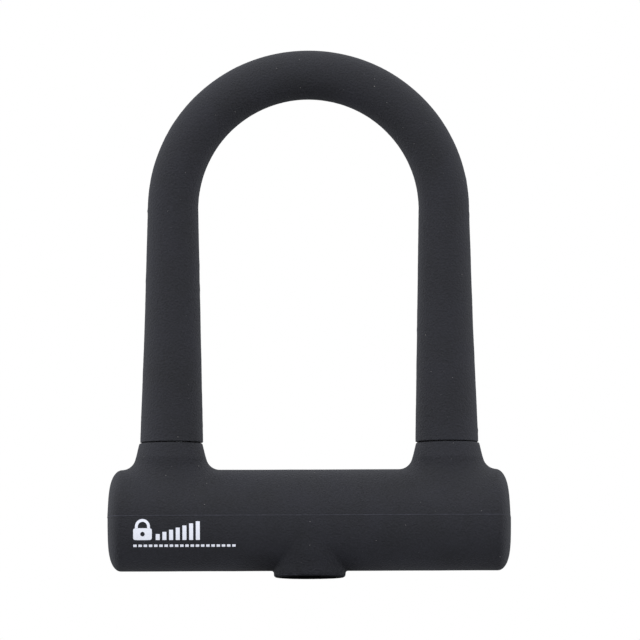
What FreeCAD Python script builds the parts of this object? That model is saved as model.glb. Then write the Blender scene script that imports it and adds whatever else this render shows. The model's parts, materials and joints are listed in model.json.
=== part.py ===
import FreeCAD, Part
import Sketcher
import math
import os

# A compact bicycle U-lock, in millimetres. Z is up along the shackle's legs, X runs along the crossbar,
# and -Y is the front. The origin is the centre of the flat face under the keyway boss.
# A steel shackle drops into two blind sockets in a steel crossbar. A key turns the cylinder's core and a
# cam with two spiral slots, which drives two bolts outwards into notches in the shackle's legs.
# Both steel parts wear a jacket of moulded silicone.

SIZES = {
    # crossbar jacket: a round bar of silicone with two necks on top and a boss underneath
    "axisHeight": 21.5,
    "jacketRadius": 19.0,
    "jacketLength": 152.0,
    "jacketEndRound": 6.2,
    "neckOffset": 52.1,
    "neckTopRadius": 11.75,
    "neckBaseRadius": 13.2,
    "neckConeHeight": 5.7,
    "neckFillet": 4.2,
    "jointHeight": 50.6,
    "jointGap": 0.3,
    "bossRadius": 13.6,
    "bossRound": 1.8,
    "bossLipHeight": 1.2,
    "bossLipRadius": 9.6,
    # crossbar tube, its end plugs and their spring pins
    "tubeRadius": 16.5,
    "tubeBore": 13.0,
    "tubeLength": 146.0,
    "plugThickness": 6.0,
    "plugChamfer": 0.8,
    "pinRadius": 2.0,
    "pinLength": 32.6,
    "pinWall": 0.7,
    "pinSlit": 0.9,
    "pinInset": 3.0,
    # shackle
    "barRadius": 7.0,
    "legOffset": 51.4,
    "bendHeight": 138.5,
    "legEnd": 15.6,
    "legChamfer": 1.4,
    "notchBottom": 24.7,
    "notchTop": 31.5,
    "notchDepth": 5.0,
    "sleeveCrownOffset": 50.7,
    "sleeveCrownRadius": 9.2,
    "sleeveFootOffset": 51.7,
    "sleeveFootRadius": 11.75,
    # leg sockets, bushes and pads
    "socketRadius": 9.25,
    "socketBore": 7.25,
    "socketBottom": 12.5,
    "socketFloor": 1.5,
    "socketTop": 50.3,
    "bushRadius": 8.25,
    "bushBore": 7.12,
    "bushHeight": 6.0,
    "bushChamfer": 0.5,
    "padRadius": 6.9,
    "padHeight": 1.5,
    # bolts, their pins and the windows they pass through
    "boltWidth": 8.0,
    "boltBottom": 25.1,
    "boltHeight": 6.0,
    "boltHeel": 2.5,
    "boltTip": 43.8,
    "boltChamfer": 1.0,
    "boltTravel": 5.0,
    "boltPinRadius": 1.25,
    "boltPinOffset": 4.0,
    "boltPinFoot": 22.2,
    "boltPinGrip": 3.0,
    "runGap": 0.1,
    "windowGap": 0.3,
    # carrier halves that fill the tube between the sockets
    "carrierRadius": 12.95,
    "carrierLength": 76.0,
    "carrierSplit": 25.0,
    "camPocketFloor": 21.8,
    "camPocketRadius": 11.4,
    "screwRadius": 1.25,
    "screwHeadRadius": 2.2,
    "screwHeadGap": 0.2,
    "screwHeadHeight": 2.0,
    "screwHeadSeat": 26.8,
    "screwFoot": 16.0,
    "screwSpacing": 54.0,
    "screwSpread": 16.0,
    "screwSocket": 1.1,
    # lock cylinder
    "cylinderRadius": 10.0,
    "cylinderBottom": 4.0,
    "cylinderTop": 20.2,
    "cylinderFaceRadius": 6.2,
    "cylinderFace": 1.0,
    "cylinderBore": 7.5,
    "sealRadius": 9.3,
    "sealSection": 0.7,
    "sealHeight": 6.6,
    "lockPinRadius": 1.5,
    "lockPinOffset": 10.2,
    "lockPinHeight": 15.0,
    "lockPinBack": 8.5,
    "lockPinFront": 14.3,
    "clipRadius": 8.1,
    "clipBore": 6.8,
    "clipBottom": 18.5,
    "clipThickness": 0.7,
    "clipGap": 4.0,
    # rotating core: front plate, drum, discs, spacers, sidebar
    "coreRadius": 7.4,
    "frontPlateBottom": 5.1,
    "frontPlateThickness": 1.8,
    "drumBottom": 7.0,
    "drumTop": 18.4,
    "drumBore": 6.4,
    "drumRoof": 1.4,
    "tailWidth": 4.0,
    "discRadius": 6.3,
    "discThickness": 1.1,
    "gateWidth": 1.7,
    "gateDepth": 0.9,
    "spacerThickness": 0.35,
    "spacerBore": 4.6,
    "keySlotLength": 8.4,
    "keySlotWidth": 2.6,
    "sidebarWidth": 1.5,
    "sidebarInner": 5.5,
    "sidebarOuter": 7.35,
    # cam on the core's tail
    "camRadius": 11.2,
    "camBottom": 22.0,
    "camThickness": 2.8,
    "camScrewRadius": 1.2,
    "camScrewHead": 2.0,
    "camScrewHeadHeight": 1.2,
    "camScrewHeadSlot": 0.6,
    "camScrewFoot": 18.9,
    # bezel, dust cover and its spring washer, under the cylinder
    "bezelRadius": 11.6,
    "bezelTop": 4.9,
    "bezelMouth": 8.6,
    "bezelLip": 1.0,
    "bezelSeat": 9.65,
    "coverRadius": 8.5,
    "coverBottom": 1.0,
    "coverFlangeRadius": 9.55,
    "coverFlangeBottom": 2.3,
    "coverTop": 3.2,
    "coverSlotWidth": 3.2,
    "coverRibHeight": 0.7,
    "coverRibWidth": 1.1,
    "coverRibLength": 8.0,
    "coverRibOffset": 4.6,
    "washerRadius": 9.4,
    "washerBore": 7.6,
    "washerThickness": 0.25,
    "washerRise": 0.4,
    "washerGap": 0.05,
}
DISC_TURNS = (0, 54, 18, 72, 36, 90, 18)
CAM_TURN = 90.0
SLOT_POINTS = 13
OVERRUN = 1.0  # how far a cutting tool runs past what it cuts
SHEET = "Sizes"


class Size:
    """A length: its value now, and the sheet expression that drives it."""

    def __init__(self, value, text):
        self.value = float(value)
        self.text = text

    def _with(self, other, sign, result):
        return Size(result, f"({self.text} {sign} {as_size(other).text})")

    def __add__(self, other):
        return self._with(other, "+", self.value + as_size(other).value)

    def __sub__(self, other):
        return self._with(other, "-", self.value - as_size(other).value)

    def __mul__(self, factor):
        return self._with(factor, "*", self.value * as_size(factor).value)

    def __truediv__(self, factor):
        return self._with(factor, "/", self.value / as_size(factor).value)

    def __neg__(self):
        return Size(-self.value, f"(-{self.text})")


def as_size(value):
    """A plain number as a Size, or the Size itself."""
    return value if isinstance(value, Size) else Size(value, f"{float(value):g}")


def size(alias):
    """The driving dimension of that name."""
    return Size(SIZES[alias], f"{SHEET}.{alias}")


doc = FreeCAD.newDocument("ULock")
subparts = []


def make_sheet():
    """The spreadsheet that holds every driving dimension."""
    sheet = doc.addObject("Spreadsheet::Sheet", SHEET)
    for row, (alias, value) in enumerate(SIZES.items(), start=1):
        sheet.set(f"A{row}", alias)
        sheet.set(f"B{row}", str(value))
        sheet.setAlias(f"B{row}", alias)
    doc.recompute()


def drive(target, prop, value):
    """Sets a property and binds it to its sheet expression."""
    value = as_size(value)
    target.setExpression(prop, value.text)


def node(target, label, x=None, turn=0):
    """Names a finished sub-part, and places it along X, turned about Z where it is a mirror twin."""
    target.Label = label
    if turn:
        upright = FreeCAD.Vector(0, 0, 1)
        target.Placement = FreeCAD.Placement(FreeCAD.Vector(), FreeCAD.Rotation(upright, turn))
    if x is not None:
        drive(target, "Placement.Base.x", x)
    subparts.append(target)
    return target


# ---- sketches and PartDesign features -------------------------------------------------------------------


def new_body(name):
    return doc.addObject("PartDesign::Body", name)


def sketch_on(body, name, role, offset=None, shift=None):
    """An empty sketch on one of the body's origin planes, moved along its normal and along its own X."""
    sketch = body.newObject("Sketcher::SketchObject", name)
    plane = next(f for f in body.Origin.OriginFeatures if f.Role == role)
    sketch.AttachmentSupport = [(plane, "")]
    sketch.MapMode = "FlatFace"
    if offset is not None:
        drive(sketch, "AttachmentOffset.Base.z", offset)
    if shift is not None:
        drive(sketch, "AttachmentOffset.Base.x", shift)
    return sketch


def dimension(sketch, kind, value, *where):
    """A driving constraint bound to its sheet expression; a negative one is stated the other way round."""
    value = as_size(value)
    if value.value < 0 and kind in ("DistanceX", "DistanceY"):
        where, value = where[2:] + where[:2], -value
    index = sketch.addConstraint(Sketcher.Constraint(kind, *where, value.value))
    sketch.setExpression(f"Constraints[{index}]", value.text)


def pin_point(sketch, geo, pos, x, y):
    """Holds a point of a sketch at x, y."""
    x, y = as_size(x), as_size(y)
    if x.value == 0 and y.value == 0:
        sketch.addConstraint(Sketcher.Constraint("Coincident", geo, pos, -1, 1))
        return
    if x.value == 0:
        sketch.addConstraint(Sketcher.Constraint("PointOnObject", geo, pos, -2))
    else:
        dimension(sketch, "DistanceX", x, -1, 1, geo, pos)
    if y.value == 0:
        sketch.addConstraint(Sketcher.Constraint("PointOnObject", geo, pos, -1))
    else:
        dimension(sketch, "DistanceY", y, -1, 1, geo, pos)


def circle(sketch, radius, x=0, y=0):
    centre = FreeCAD.Vector(as_size(x).value, as_size(y).value, 0)
    geo = sketch.addGeometry(Part.Circle(centre, FreeCAD.Vector(0, 0, 1), as_size(radius).value))
    pin_point(sketch, geo, 3, x, y)
    dimension(sketch, "Radius", radius, geo)


def outline(sketch, points):
    """A closed outline of straight lines whose every corner is dimensioned."""
    corners = [(as_size(x), as_size(y)) for x, y in points]
    places = [FreeCAD.Vector(x.value, y.value, 0) for x, y in corners]
    count = len(corners)
    lines = [
        sketch.addGeometry(Part.LineSegment(places[i], places[(i + 1) % count])) for i in range(count)
    ]
    for i, line in enumerate(lines):
        sketch.addConstraint(Sketcher.Constraint("Coincident", line, 2, lines[(i + 1) % count], 1))
        pin_point(sketch, line, 1, *corners[i])


def rectangle(sketch, left, right, bottom, top):
    outline(sketch, [(left, bottom), (right, bottom), (right, top), (left, top)])


def slot_outline(sketch, length, width, along_y=False):
    """A round-ended slot centred on the origin, along the sketch's X or Y."""
    reach, radius = (length - width) / 2, width / 2
    quarter = math.pi / 2
    along = FreeCAD.Vector(0, 1, 0) if along_y else FreeCAD.Vector(1, 0, 0)
    side = FreeCAD.Vector(0, 0, 1).cross(along) * radius.value
    ends = []
    for way in (1, -1):
        centre = along * (way * reach.value)
        start = (quarter if along_y else 0) - way * quarter
        ring = Part.Circle(centre, FreeCAD.Vector(0, 0, 1), radius.value)
        ends.append(sketch.addGeometry(Part.ArcOfCircle(ring, start, start + math.pi)))
        pin_point(sketch, ends[-1], 3, 0 if along_y else reach * way, reach * way if along_y else 0)
    far = along * reach.value
    sides = [
        sketch.addGeometry(Part.LineSegment(far + side, side - far)),
        sketch.addGeometry(Part.LineSegment(-far - side, far - side)),
    ]
    for arc, after in zip(ends, sides):
        sketch.addConstraint(Sketcher.Constraint("Tangent", arc, 2, after, 1))
    for arc, before in zip(ends, reversed(sides)):
        sketch.addConstraint(Sketcher.Constraint("Tangent", before, 2, arc, 1))
    sketch.addConstraint(Sketcher.Constraint("Equal", ends[0], ends[1]))
    dimension(sketch, "Radius", radius, ends[0])


def feature(body, kind, name, profile):
    added = body.newObject(kind, name)
    added.Profile = profile
    return added


def pad(body, name, profile, length, both_ways=False):
    added = feature(body, "PartDesign::Pad", name, profile)
    drive(added, "Length", length)
    if both_ways:
        added.Midplane = True
    return added


def pocket(body, name, profile, length=None, both_ways=False, reverse=False):
    """A pocket that has to remove material, through everything if it has no length."""
    before = solid_volume(body)
    added = feature(body, "PartDesign::Pocket", name, profile)
    if length is None:
        added.Type = "ThroughAll"
    else:
        drive(added, "Length", length)
    added.Midplane = both_ways
    added.Reversed = reverse
    if solid_volume(body) >= before - 1e-6:
        raise ValueError(f"{name} cuts nothing from {body.Name}")
    return added


def solid_volume(body):
    doc.recompute()
    return body.Shape.Volume


def revolve(body, name, profile):
    """A full turn about the sketch's vertical axis."""
    added = feature(body, "PartDesign::Revolution", name, profile)
    added.ReferenceAxis = (profile, ["V_Axis"])
    added.Angle = 360
    return added


def mirror_x(body, name, originals):
    """Mirrors features across the YZ plane."""
    plane = next(f for f in body.Origin.OriginFeatures if f.Role == "YZ_Plane")
    added = body.newObject("PartDesign::Mirrored", name)
    added.Originals = originals
    added.MirrorPlane = (plane, [""])
    body.Tip = added
    return added


def edge_names(shape, wanted):
    """Names of the edges whose bounding box and curve pass the test."""
    return [f"Edge{i}" for i, e in enumerate(shape.Edges, start=1) if wanted(e)]


def dress(body, kind, name, base, wanted, prop, value):
    """A fillet or chamfer on the edges of base that pass the test."""
    doc.recompute()
    edges = edge_names(base.Shape, wanted)
    if not edges:
        raise ValueError(f"{name} found no edge")
    added = body.newObject(kind, name)
    added.Base = (base, edges)
    drive(added, prop, value)
    return added


# ---- Part primitives and booleans -----------------------------------------------------------------------

AXES = {
    "Z": FreeCAD.Rotation(),
    "X": FreeCAD.Rotation(FreeCAD.Vector(0, 1, 0), 90),
    "Y": FreeCAD.Rotation(FreeCAD.Vector(1, 0, 0), -90),
}


def place(target, x, y, z, axis="Z"):
    target.Placement = FreeCAD.Placement(FreeCAD.Vector(), AXES[axis])
    for letter, value in zip("xyz", (x, y, z)):
        if as_size(value).text != "0":
            drive(target, f"Placement.Base.{letter}", value)
    return target


def rod(name, radius, length, x=0, y=0, z=0, axis="Z"):
    """A cylinder that starts at x, y, z and runs along an axis."""
    made = doc.addObject("Part::Cylinder", name)
    drive(made, "Radius", radius)
    drive(made, "Height", length)
    return place(made, x, y, z, axis)


def block(name, x_size, y_size, z_size, x, y, z):
    """A box from its low corner."""
    made = doc.addObject("Part::Box", name)
    for prop, value in zip(("Length", "Width", "Height"), (x_size, y_size, z_size)):
        drive(made, prop, value)
    return place(made, x, y, z)


def fuse(name, *shapes):
    made = doc.addObject("Part::MultiFuse", name)
    made.Shapes = list(shapes)
    return made


def cut(name, base, *tools):
    """base with every tool cut from it."""
    made = doc.addObject("Part::Cut", name)
    made.Base = base
    made.Tool = tools[0] if len(tools) == 1 else fuse(f"{name}_tools", *tools)
    return made


def common(name, *shapes):
    made = doc.addObject("Part::MultiCommon", name)
    made.Shapes = list(shapes)
    return made


def group(name, members):
    """Separate solids that share one sub-part."""
    made = doc.addObject("Part::Compound", name)
    made.Links = members
    return made


# ---- the shackle ----------------------------------------------------------------------------------------


def u_path(body, name, offset, foot):
    """The line of a U: up one leg, half a turn over the top, and down the other leg."""
    sketch = sketch_on(body, name, "XZ_Plane")
    reach, bend, low = offset.value, size("bendHeight").value, foot.value
    centre = FreeCAD.Vector(0, bend, 0)
    points = [FreeCAD.Vector(-reach, low, 0), FreeCAD.Vector(-reach, bend, 0)]
    points += [FreeCAD.Vector(reach, bend, 0), FreeCAD.Vector(reach, low, 0)]
    left = sketch.addGeometry(Part.LineSegment(points[0], points[1]))
    ring = Part.Circle(centre, FreeCAD.Vector(0, 0, 1), reach)
    over = sketch.addGeometry(Part.ArcOfCircle(ring, 0, math.pi))
    right = sketch.addGeometry(Part.LineSegment(points[2], points[3]))
    sketch.addConstraint(Sketcher.Constraint("Vertical", left))
    sketch.addConstraint(Sketcher.Constraint("Tangent", left, 2, over, 2))
    sketch.addConstraint(Sketcher.Constraint("Tangent", over, 1, right, 1))
    pin_point(sketch, left, 1, -offset, foot)
    pin_point(sketch, over, 3, 0, size("bendHeight"))
    pin_point(sketch, right, 2, offset, foot)
    return sketch


def pipe(body, kind, name, profile, path):
    made = feature(body, kind, name, profile)
    made.Spine = path
    return made


def make_shackle_bar():
    """Round hardened steel bent to a U, with a notch milled in the inner side of each leg."""
    body = new_body("ShackleBar")
    offset, foot = size("legOffset"), size("legEnd")
    path = u_path(body, "BarPath", offset, foot)
    section = sketch_on(body, "BarSection", "XY_Plane", offset=foot)
    circle(section, size("barRadius"), x=-offset)
    bar = pipe(body, "PartDesign::AdditivePipe", "Bar", section, path)
    low = foot.value

    def leg_rim(edge):
        return edge.BoundBox.ZMax < low + 1e-3 and edge.Closed

    dress(body, "PartDesign::Chamfer", "LegChamfer", bar, leg_rim, "Size", size("legChamfer"))
    notches = sketch_on(body, "NotchProfile", "XZ_Plane")
    inner = offset - size("barRadius")
    for side in (1, -1):
        near, far = (inner - OVERRUN) * side, (inner + size("notchDepth")) * side
        rectangle(notches, near, far, size("notchBottom"), size("notchTop"))
    pocket(body, "Notches", notches, both_ways=True)
    node(body, "shackle_bar")


def make_shackle_jacket():
    """The silicone sleeve on the shackle: even over the crown, and thicker towards the foot of each leg."""
    body = new_body("ShackleJacket")
    crown, foot = size("sleeveCrownOffset"), size("jointHeight") + size("jointGap")
    arch = sketch_on(body, "CrownPath", "XZ_Plane")
    ring = Part.Circle(
        FreeCAD.Vector(0, size("bendHeight").value, 0), FreeCAD.Vector(0, 0, 1), crown.value
    )
    over = arch.addGeometry(Part.ArcOfCircle(ring, 0, math.pi))
    pin_point(arch, over, 3, 0, size("bendHeight"))
    dimension(arch, "Radius", crown, over)
    for end in (1, 2):
        dimension(arch, "DistanceY", size("bendHeight"), -1, 1, over, end)
    top = sketch_on(body, "CrownSection", "XY_Plane", offset=size("bendHeight"))
    circle(top, size("sleeveCrownRadius"), x=-crown)
    pipe(body, "PartDesign::AdditivePipe", "Crown", top, arch)
    shoulder = sketch_on(body, "LegTopSection", "XY_Plane", offset=size("bendHeight"))
    circle(shoulder, size("sleeveCrownRadius"), x=-crown)
    base = sketch_on(body, "LegFootSection", "XY_Plane", offset=foot)
    circle(base, size("sleeveFootRadius"), x=-size("sleeveFootOffset"))
    leg = feature(body, "PartDesign::AdditiveLoft", "LeftLeg", shoulder)
    leg.Sections = [base]
    leg.Ruled = True
    doc.recompute()
    mirror_x(body, "RightLeg", [leg])
    doc.recompute()
    before = solid_volume(body)
    channel_path = u_path(body, "ChannelPath", size("legOffset"), foot)
    section = sketch_on(body, "ChannelSection", "XY_Plane", offset=foot)
    circle(section, size("barRadius"), x=-size("legOffset"))
    pipe(body, "PartDesign::SubtractivePipe", "Channel", section, channel_path)
    if solid_volume(body) >= before:
        raise ValueError("the bar's channel cuts nothing from the sleeve")
    node(body, "shackle_jacket")


# ---- the crossbar's skin, tube and ends -----------------------------------------------------------------


def make_crossbar_jacket():
    """The silicone over the crossbar: a round bar with a neck for each leg and a boss round the keyway."""
    axis, radius, length = size("axisHeight"), size("jacketRadius"), size("jacketLength")
    body = new_body("CrossbarJacket")
    section = sketch_on(body, "BarSection", "YZ_Plane")
    circle(section, radius, y=axis)
    bar = pad(body, "RoundBar", section, length, both_ways=True)
    half = length.value / 2

    def bar_end(edge):
        box = edge.BoundBox
        return box.XLength < 1e-3 and abs(abs(box.XMin) - half) < 1e-3 and edge.Closed

    dress(body, "PartDesign::Fillet", "EndRounds", bar, bar_end, "Radius", size("jacketEndRound"))
    cone_foot = size("jointHeight") - size("neckConeHeight")
    for side, offset in (("Left", -size("neckOffset")), ("Right", size("neckOffset"))):
        profile = sketch_on(body, f"{side}NeckProfile", "XZ_Plane", shift=offset)
        base, top = size("neckBaseRadius"), size("neckTopRadius")
        crest = size("jointHeight")
        outline(profile, [(0, axis), (base, axis), (base, cone_foot), (top, crest), (0, crest)])
        neck = revolve(body, f"{side}Neck", profile)
    bar_top = (axis + radius).value
    reach = size("neckOffset").value

    def neck_root(edge):
        box = edge.BoundBox
        beside = abs(abs(box.Center.x) - reach) < 0.1
        return beside and box.ZLength > 1 and box.YLength > 1 and box.ZMax < bar_top + 0.1

    dress(body, "PartDesign::Fillet", "NeckRoots", neck, neck_root, "Radius", size("neckFillet"))
    boss_profile = sketch_on(body, "BossSection", "XY_Plane")
    circle(boss_profile, size("bossRadius"))
    boss = pad(body, "KeywayBoss", boss_profile, axis)

    def boss_rim(edge):
        return edge.BoundBox.ZMax < 1e-3 and edge.Closed

    dress(body, "PartDesign::Fillet", "BossRound", boss, boss_rim, "Radius", size("bossRound"))
    core = sketch_on(body, "TubeHollow", "YZ_Plane")
    circle(core, size("tubeRadius"), y=axis)
    pocket(body, "TubeSpace", core, size("tubeLength"), both_ways=True)
    legs = sketch_on(body, "SocketHoles", "XY_Plane", offset=axis)
    for side in (-1, 1):
        circle(legs, size("socketRadius"), x=size("legOffset") * side)
    pocket(body, "SocketSpaces", legs, size("jointHeight") - axis, reverse=True)
    for name, hole, low, high in (
        ("LipOpening", size("bossLipRadius"), as_size(0), size("bossLipHeight")),
        ("BezelSpace", size("bezelRadius"), size("bossLipHeight"), size("bezelTop")),
        ("CylinderSpace", size("cylinderRadius"), size("bezelTop"), axis),
    ):
        profile = sketch_on(body, f"{name}Section", "XY_Plane", offset=low)
        circle(profile, hole)
        pocket(body, name, profile, high - low, reverse=True)
    node(body, "crossbar_jacket")


def make_crossbar_tube():
    """Hardened steel tube, drilled for the sockets, the cylinder, its lock pin and the end plug pins."""
    axis = size("axisHeight")
    body = new_body("CrossbarTube")
    section = sketch_on(body, "TubeSection", "YZ_Plane")
    circle(section, size("tubeRadius"), y=axis)
    circle(section, size("tubeBore"), y=axis)
    pad(body, "Tube", section, size("tubeLength"), both_ways=True)
    top = sketch_on(body, "SocketHoles", "XY_Plane", offset=axis)
    for side in (-1, 1):
        circle(top, size("socketRadius"), x=size("legOffset") * side)
    pocket(body, "LegHoles", top, size("tubeRadius"), reverse=True)
    bottom = sketch_on(body, "CylinderHole", "XY_Plane", offset=axis)
    circle(bottom, size("cylinderRadius"))
    pocket(body, "KeywayHole", bottom, size("tubeRadius"))
    pins = sketch_on(body, "PinHoles", "XY_Plane", offset=axis)
    for side in (-1, 1):
        circle(pins, size("pinRadius"), x=(size("tubeLength") / 2 - size("pinInset")) * side)
    pocket(body, "EndPinHoles", pins, size("tubeRadius") * 2 + OVERRUN * 2, both_ways=True)
    front = sketch_on(body, "LockPinHole", "XZ_Plane")
    circle(front, size("lockPinRadius"), x=size("lockPinOffset"), y=size("lockPinHeight"))
    pocket(body, "LockPinEntry", front, size("tubeRadius"), reverse=True)
    node(body, "crossbar_tube")


def make_end_plugs():
    """A steel plug in each end of the tube, crossed by a spring pin."""
    axis, thickness = size("axisHeight"), size("plugThickness")
    middle = size("tubeLength") / 2 - size("pinInset")
    for side, turn in (("left", 180), ("right", 0)):
        body = new_body(f"{side.title()}EndPlug")
        face = sketch_on(body, "PlugSection", "YZ_Plane", offset=-thickness / 2)
        circle(face, size("tubeBore"), y=axis)
        plug = pad(body, "Plug", face, thickness)

        def rim(edge):
            return edge.Closed and edge.BoundBox.ZLength > 2 * size("tubeBore").value - 1e-3

        dress(body, "PartDesign::Chamfer", "PlugChamfer", plug, rim, "Size", size("plugChamfer"))
        cross = sketch_on(body, "PinHoleSection", "XY_Plane", offset=axis)
        circle(cross, size("pinRadius"))
        pocket(body, "PinHole", cross, size("tubeBore") * 2 + OVERRUN * 2, both_ways=True)
        node(body, f"{side}_end_plug", x=middle if side == "right" else -middle, turn=turn)


def make_end_plug_pins():
    """Two slit spring pins, each through the tube and its plug."""
    radius, length = size("pinRadius"), size("pinLength")
    low = size("axisHeight") - length / 2
    pins = []
    for side in (-1, 1):
        x = (size("tubeLength") / 2 - size("pinInset")) * side
        shell = rod(f"SpringPin{len(pins)}", radius, length, x, 0, low)
        hollow = rod(f"PinHollow{len(pins)}", radius - size("pinWall"), length, x, 0, low)
        slit = block(
            f"PinSlit{len(pins)}", size("pinSlit"), radius, length, x - size("pinSlit") / 2, 0, low
        )
        pins.append(cut(f"SlitPin{len(pins)}", shell, hollow, slit))
    node(group("EndPlugPins", pins), "end_plug_pins")


# ---- sockets --------------------------------------------------------------------------------------------


def make_leg_sockets():
    """A blind steel socket for each leg, with a window for the bolt, a guide bush and a foot pad."""
    low, high = size("socketBottom"), size("socketTop")
    floor = low + size("socketFloor")
    bush_low = high - size("bushHeight")
    for side, turn in (("left", 180), ("right", 0)):
        x = size("legOffset") if side == "right" else -size("legOffset")
        outer, bore, seat = size("socketRadius"), size("socketBore"), size("bushRadius")
        body = new_body(f"{side.title()}LegSocket")
        profile = sketch_on(body, "SocketProfile", "XZ_Plane")
        corners = [(0, low), (outer, low), (outer, high), (seat, high)]
        corners += [(seat, bush_low), (bore, bush_low), (bore, floor), (0, floor)]
        outline(profile, corners)
        revolve(body, "Socket", profile)
        window = sketch_on(body, "WindowProfile", "YZ_Plane")
        half, gap = size("boltWidth") / 2 + size("windowGap"), size("windowGap")
        sill, lintel = size("boltBottom"), size("boltBottom") + size("boltHeight")
        rectangle(window, -half, half, sill - gap, lintel + gap)
        pocket(body, "BoltWindow", window, outer + OVERRUN)
        node(body, f"{side}_leg_socket", x=x, turn=turn)

        bush = new_body(f"{side.title()}LegBush")
        ring = sketch_on(bush, "BushProfile", "XZ_Plane")
        lead, bush_bore = size("bushChamfer"), size("bushBore")
        corners = [(bush_bore, bush_low), (seat, bush_low), (seat, high), (bush_bore + lead, high)]
        corners += [(bush_bore, high - lead)]
        outline(ring, corners)
        revolve(bush, "Bush", ring)
        node(bush, f"{side}_leg_bush", x=x, turn=turn)

        pad_body = new_body(f"{side.title()}LegPad")
        disc = sketch_on(pad_body, "PadSection", "XY_Plane", offset=floor)
        circle(disc, size("padRadius"))
        pad(pad_body, "Pad", disc, size("padHeight"))
        node(pad_body, f"{side}_leg_pad", x=x, turn=turn)


# ---- bolts ----------------------------------------------------------------------------------------------


def make_bolts():
    """Two sliding bolts, drawn back here, each with a pin that stands down into the cam."""
    for side, turn in (("left", 180), ("right", 0)):
        heel, tip, half = size("boltHeel"), size("boltTip"), size("boltWidth") / 2
        body = new_body(f"{side.title()}Bolt")
        plan = sketch_on(body, "BoltPlan", "XY_Plane", offset=size("boltBottom"))
        lead = size("boltChamfer")
        corners = [(heel, -half), (tip - lead, -half), (tip, lead - half), (tip, half - lead)]
        corners += [(tip - lead, half), (heel, half)]
        outline(plan, corners)
        pad(body, "Bolt", plan, size("boltHeight"))
        hole = sketch_on(body, "PinHoleSection", "XY_Plane", offset=size("boltBottom"))
        circle(hole, size("boltPinRadius"), x=size("boltPinOffset"))
        pocket(body, "PinHole", hole, size("boltPinGrip"), reverse=True)
        node(body, f"{side}_bolt", turn=turn)

        pin = new_body(f"{side.title()}BoltPin")
        section = sketch_on(pin, "PinSection", "XY_Plane", offset=size("boltPinFoot"))
        circle(section, size("boltPinRadius"), x=size("boltPinOffset"))
        length = size("boltBottom") + size("boltPinGrip") - size("boltPinFoot")
        pad(pin, "Pin", section, length)
        node(pin, f"{side}_bolt_pin", turn=turn)


# ---- carrier --------------------------------------------------------------------------------------------


def screw_places():
    """Where the carrier's four screws stand."""
    half_x, half_y = size("screwSpacing") / 2, size("screwSpread") / 2
    return [(half_x * i, half_y * j) for i in (-1, 1) for j in (-1, 1)]


def screw_holes(prefix, low, high, head=False):
    """Clearance for the screws between two heights, with the heads' counterbores if head is set."""
    seat = size("screwHeadSeat")
    holes = []
    for i, (x, y) in enumerate(screw_places()):
        holes.append(rod(f"{prefix}Screw{i}", size("screwRadius"), high - low, x, y, low))
        if head:
            bore = size("screwHeadRadius") + size("screwHeadGap")
            holes.append(rod(f"{prefix}Head{i}", bore, high - seat, x, y, seat))
    return holes


def lock_pin_rod(name):
    """The cylinder's cross pin, from the tube's front to the back of the carrier."""
    length = size("lockPinFront") + size("lockPinBack")
    return rod(
        name,
        size("lockPinRadius"),
        length,
        size("lockPinOffset"),
        -size("lockPinFront"),
        size("lockPinHeight"),
        "Y",
    )


def make_carrier():
    """Two cast halves that fill the tube, hold the cylinder and guide the bolts."""
    axis, length, split = size("axisHeight"), size("carrierLength"), size("carrierSplit")
    radius = size("carrierRadius")
    for half in ("lower", "upper"):
        name = f"{half.title()}Carrier"
        bar = rod(f"{name}Bar", radius, length, -length / 2, 0, axis, "X")
        low = axis - radius - OVERRUN if half == "lower" else split
        high = split if half == "lower" else axis + radius + OVERRUN
        run, start = length + OVERRUN * 2, -length / 2 - OVERRUN
        side = radius + OVERRUN
        slab = block(f"{name}Half", run, side * 2, high - low, start, -side, low)
        piece = common(f"{name}Blank", bar, slab)
        if half == "lower":
            pocket_depth, top = split - size("camPocketFloor"), size("cylinderTop")
            tools = [
                rod("CarrierCylinderBore", size("cylinderRadius"), top, 0, 0, 0),
                rod("CamPocket", size("camPocketRadius"), pocket_depth, 0, 0, size("camPocketFloor")),
                rod("CarrierTailBore", size("coreRadius"), split - top, 0, 0, top),
                lock_pin_rod("CarrierLockPinHole"),
            ]
            tools += screw_holes("Lower", size("screwFoot"), split)
        else:
            width, gap = size("boltWidth") + size("runGap") * 2, size("runGap")
            roof = size("boltBottom") + size("boltHeight") + gap
            tools = [block("BoltChannel", run, width, roof - split, start, -width / 2, split)]
            tools += screw_holes("Upper", split, axis + radius, head=True)
        node(cut(name, piece, *tools), f"{half}_carrier")


def make_carrier_screws():
    """Four socket screws that clamp the carrier's halves together."""
    seat, foot = size("screwHeadSeat"), size("screwFoot")
    screws = []
    for i, (x, y) in enumerate(screw_places()):
        head = rod(f"ScrewHead{i}", size("screwHeadRadius"), size("screwHeadHeight"), x, y, seat)
        shank = rod(f"ScrewShank{i}", size("screwRadius"), seat - foot, x, y, foot)
        drive_hole = doc.addObject("Part::Prism", f"ScrewDrive{i}")
        drive_hole.Polygon = 6
        drive(drive_hole, "Circumradius", size("screwSocket"))
        drive(drive_hole, "Height", size("screwHeadHeight"))
        place(drive_hole, x, y, seat + size("screwHeadHeight") / 2)
        screws.append(cut(f"Screw{i}", fuse(f"ScrewBlank{i}", head, shank), drive_hole))
    node(group("CarrierScrews", screws), "carrier_screws")


# ---- lock cylinder --------------------------------------------------------------------------------------


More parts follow.
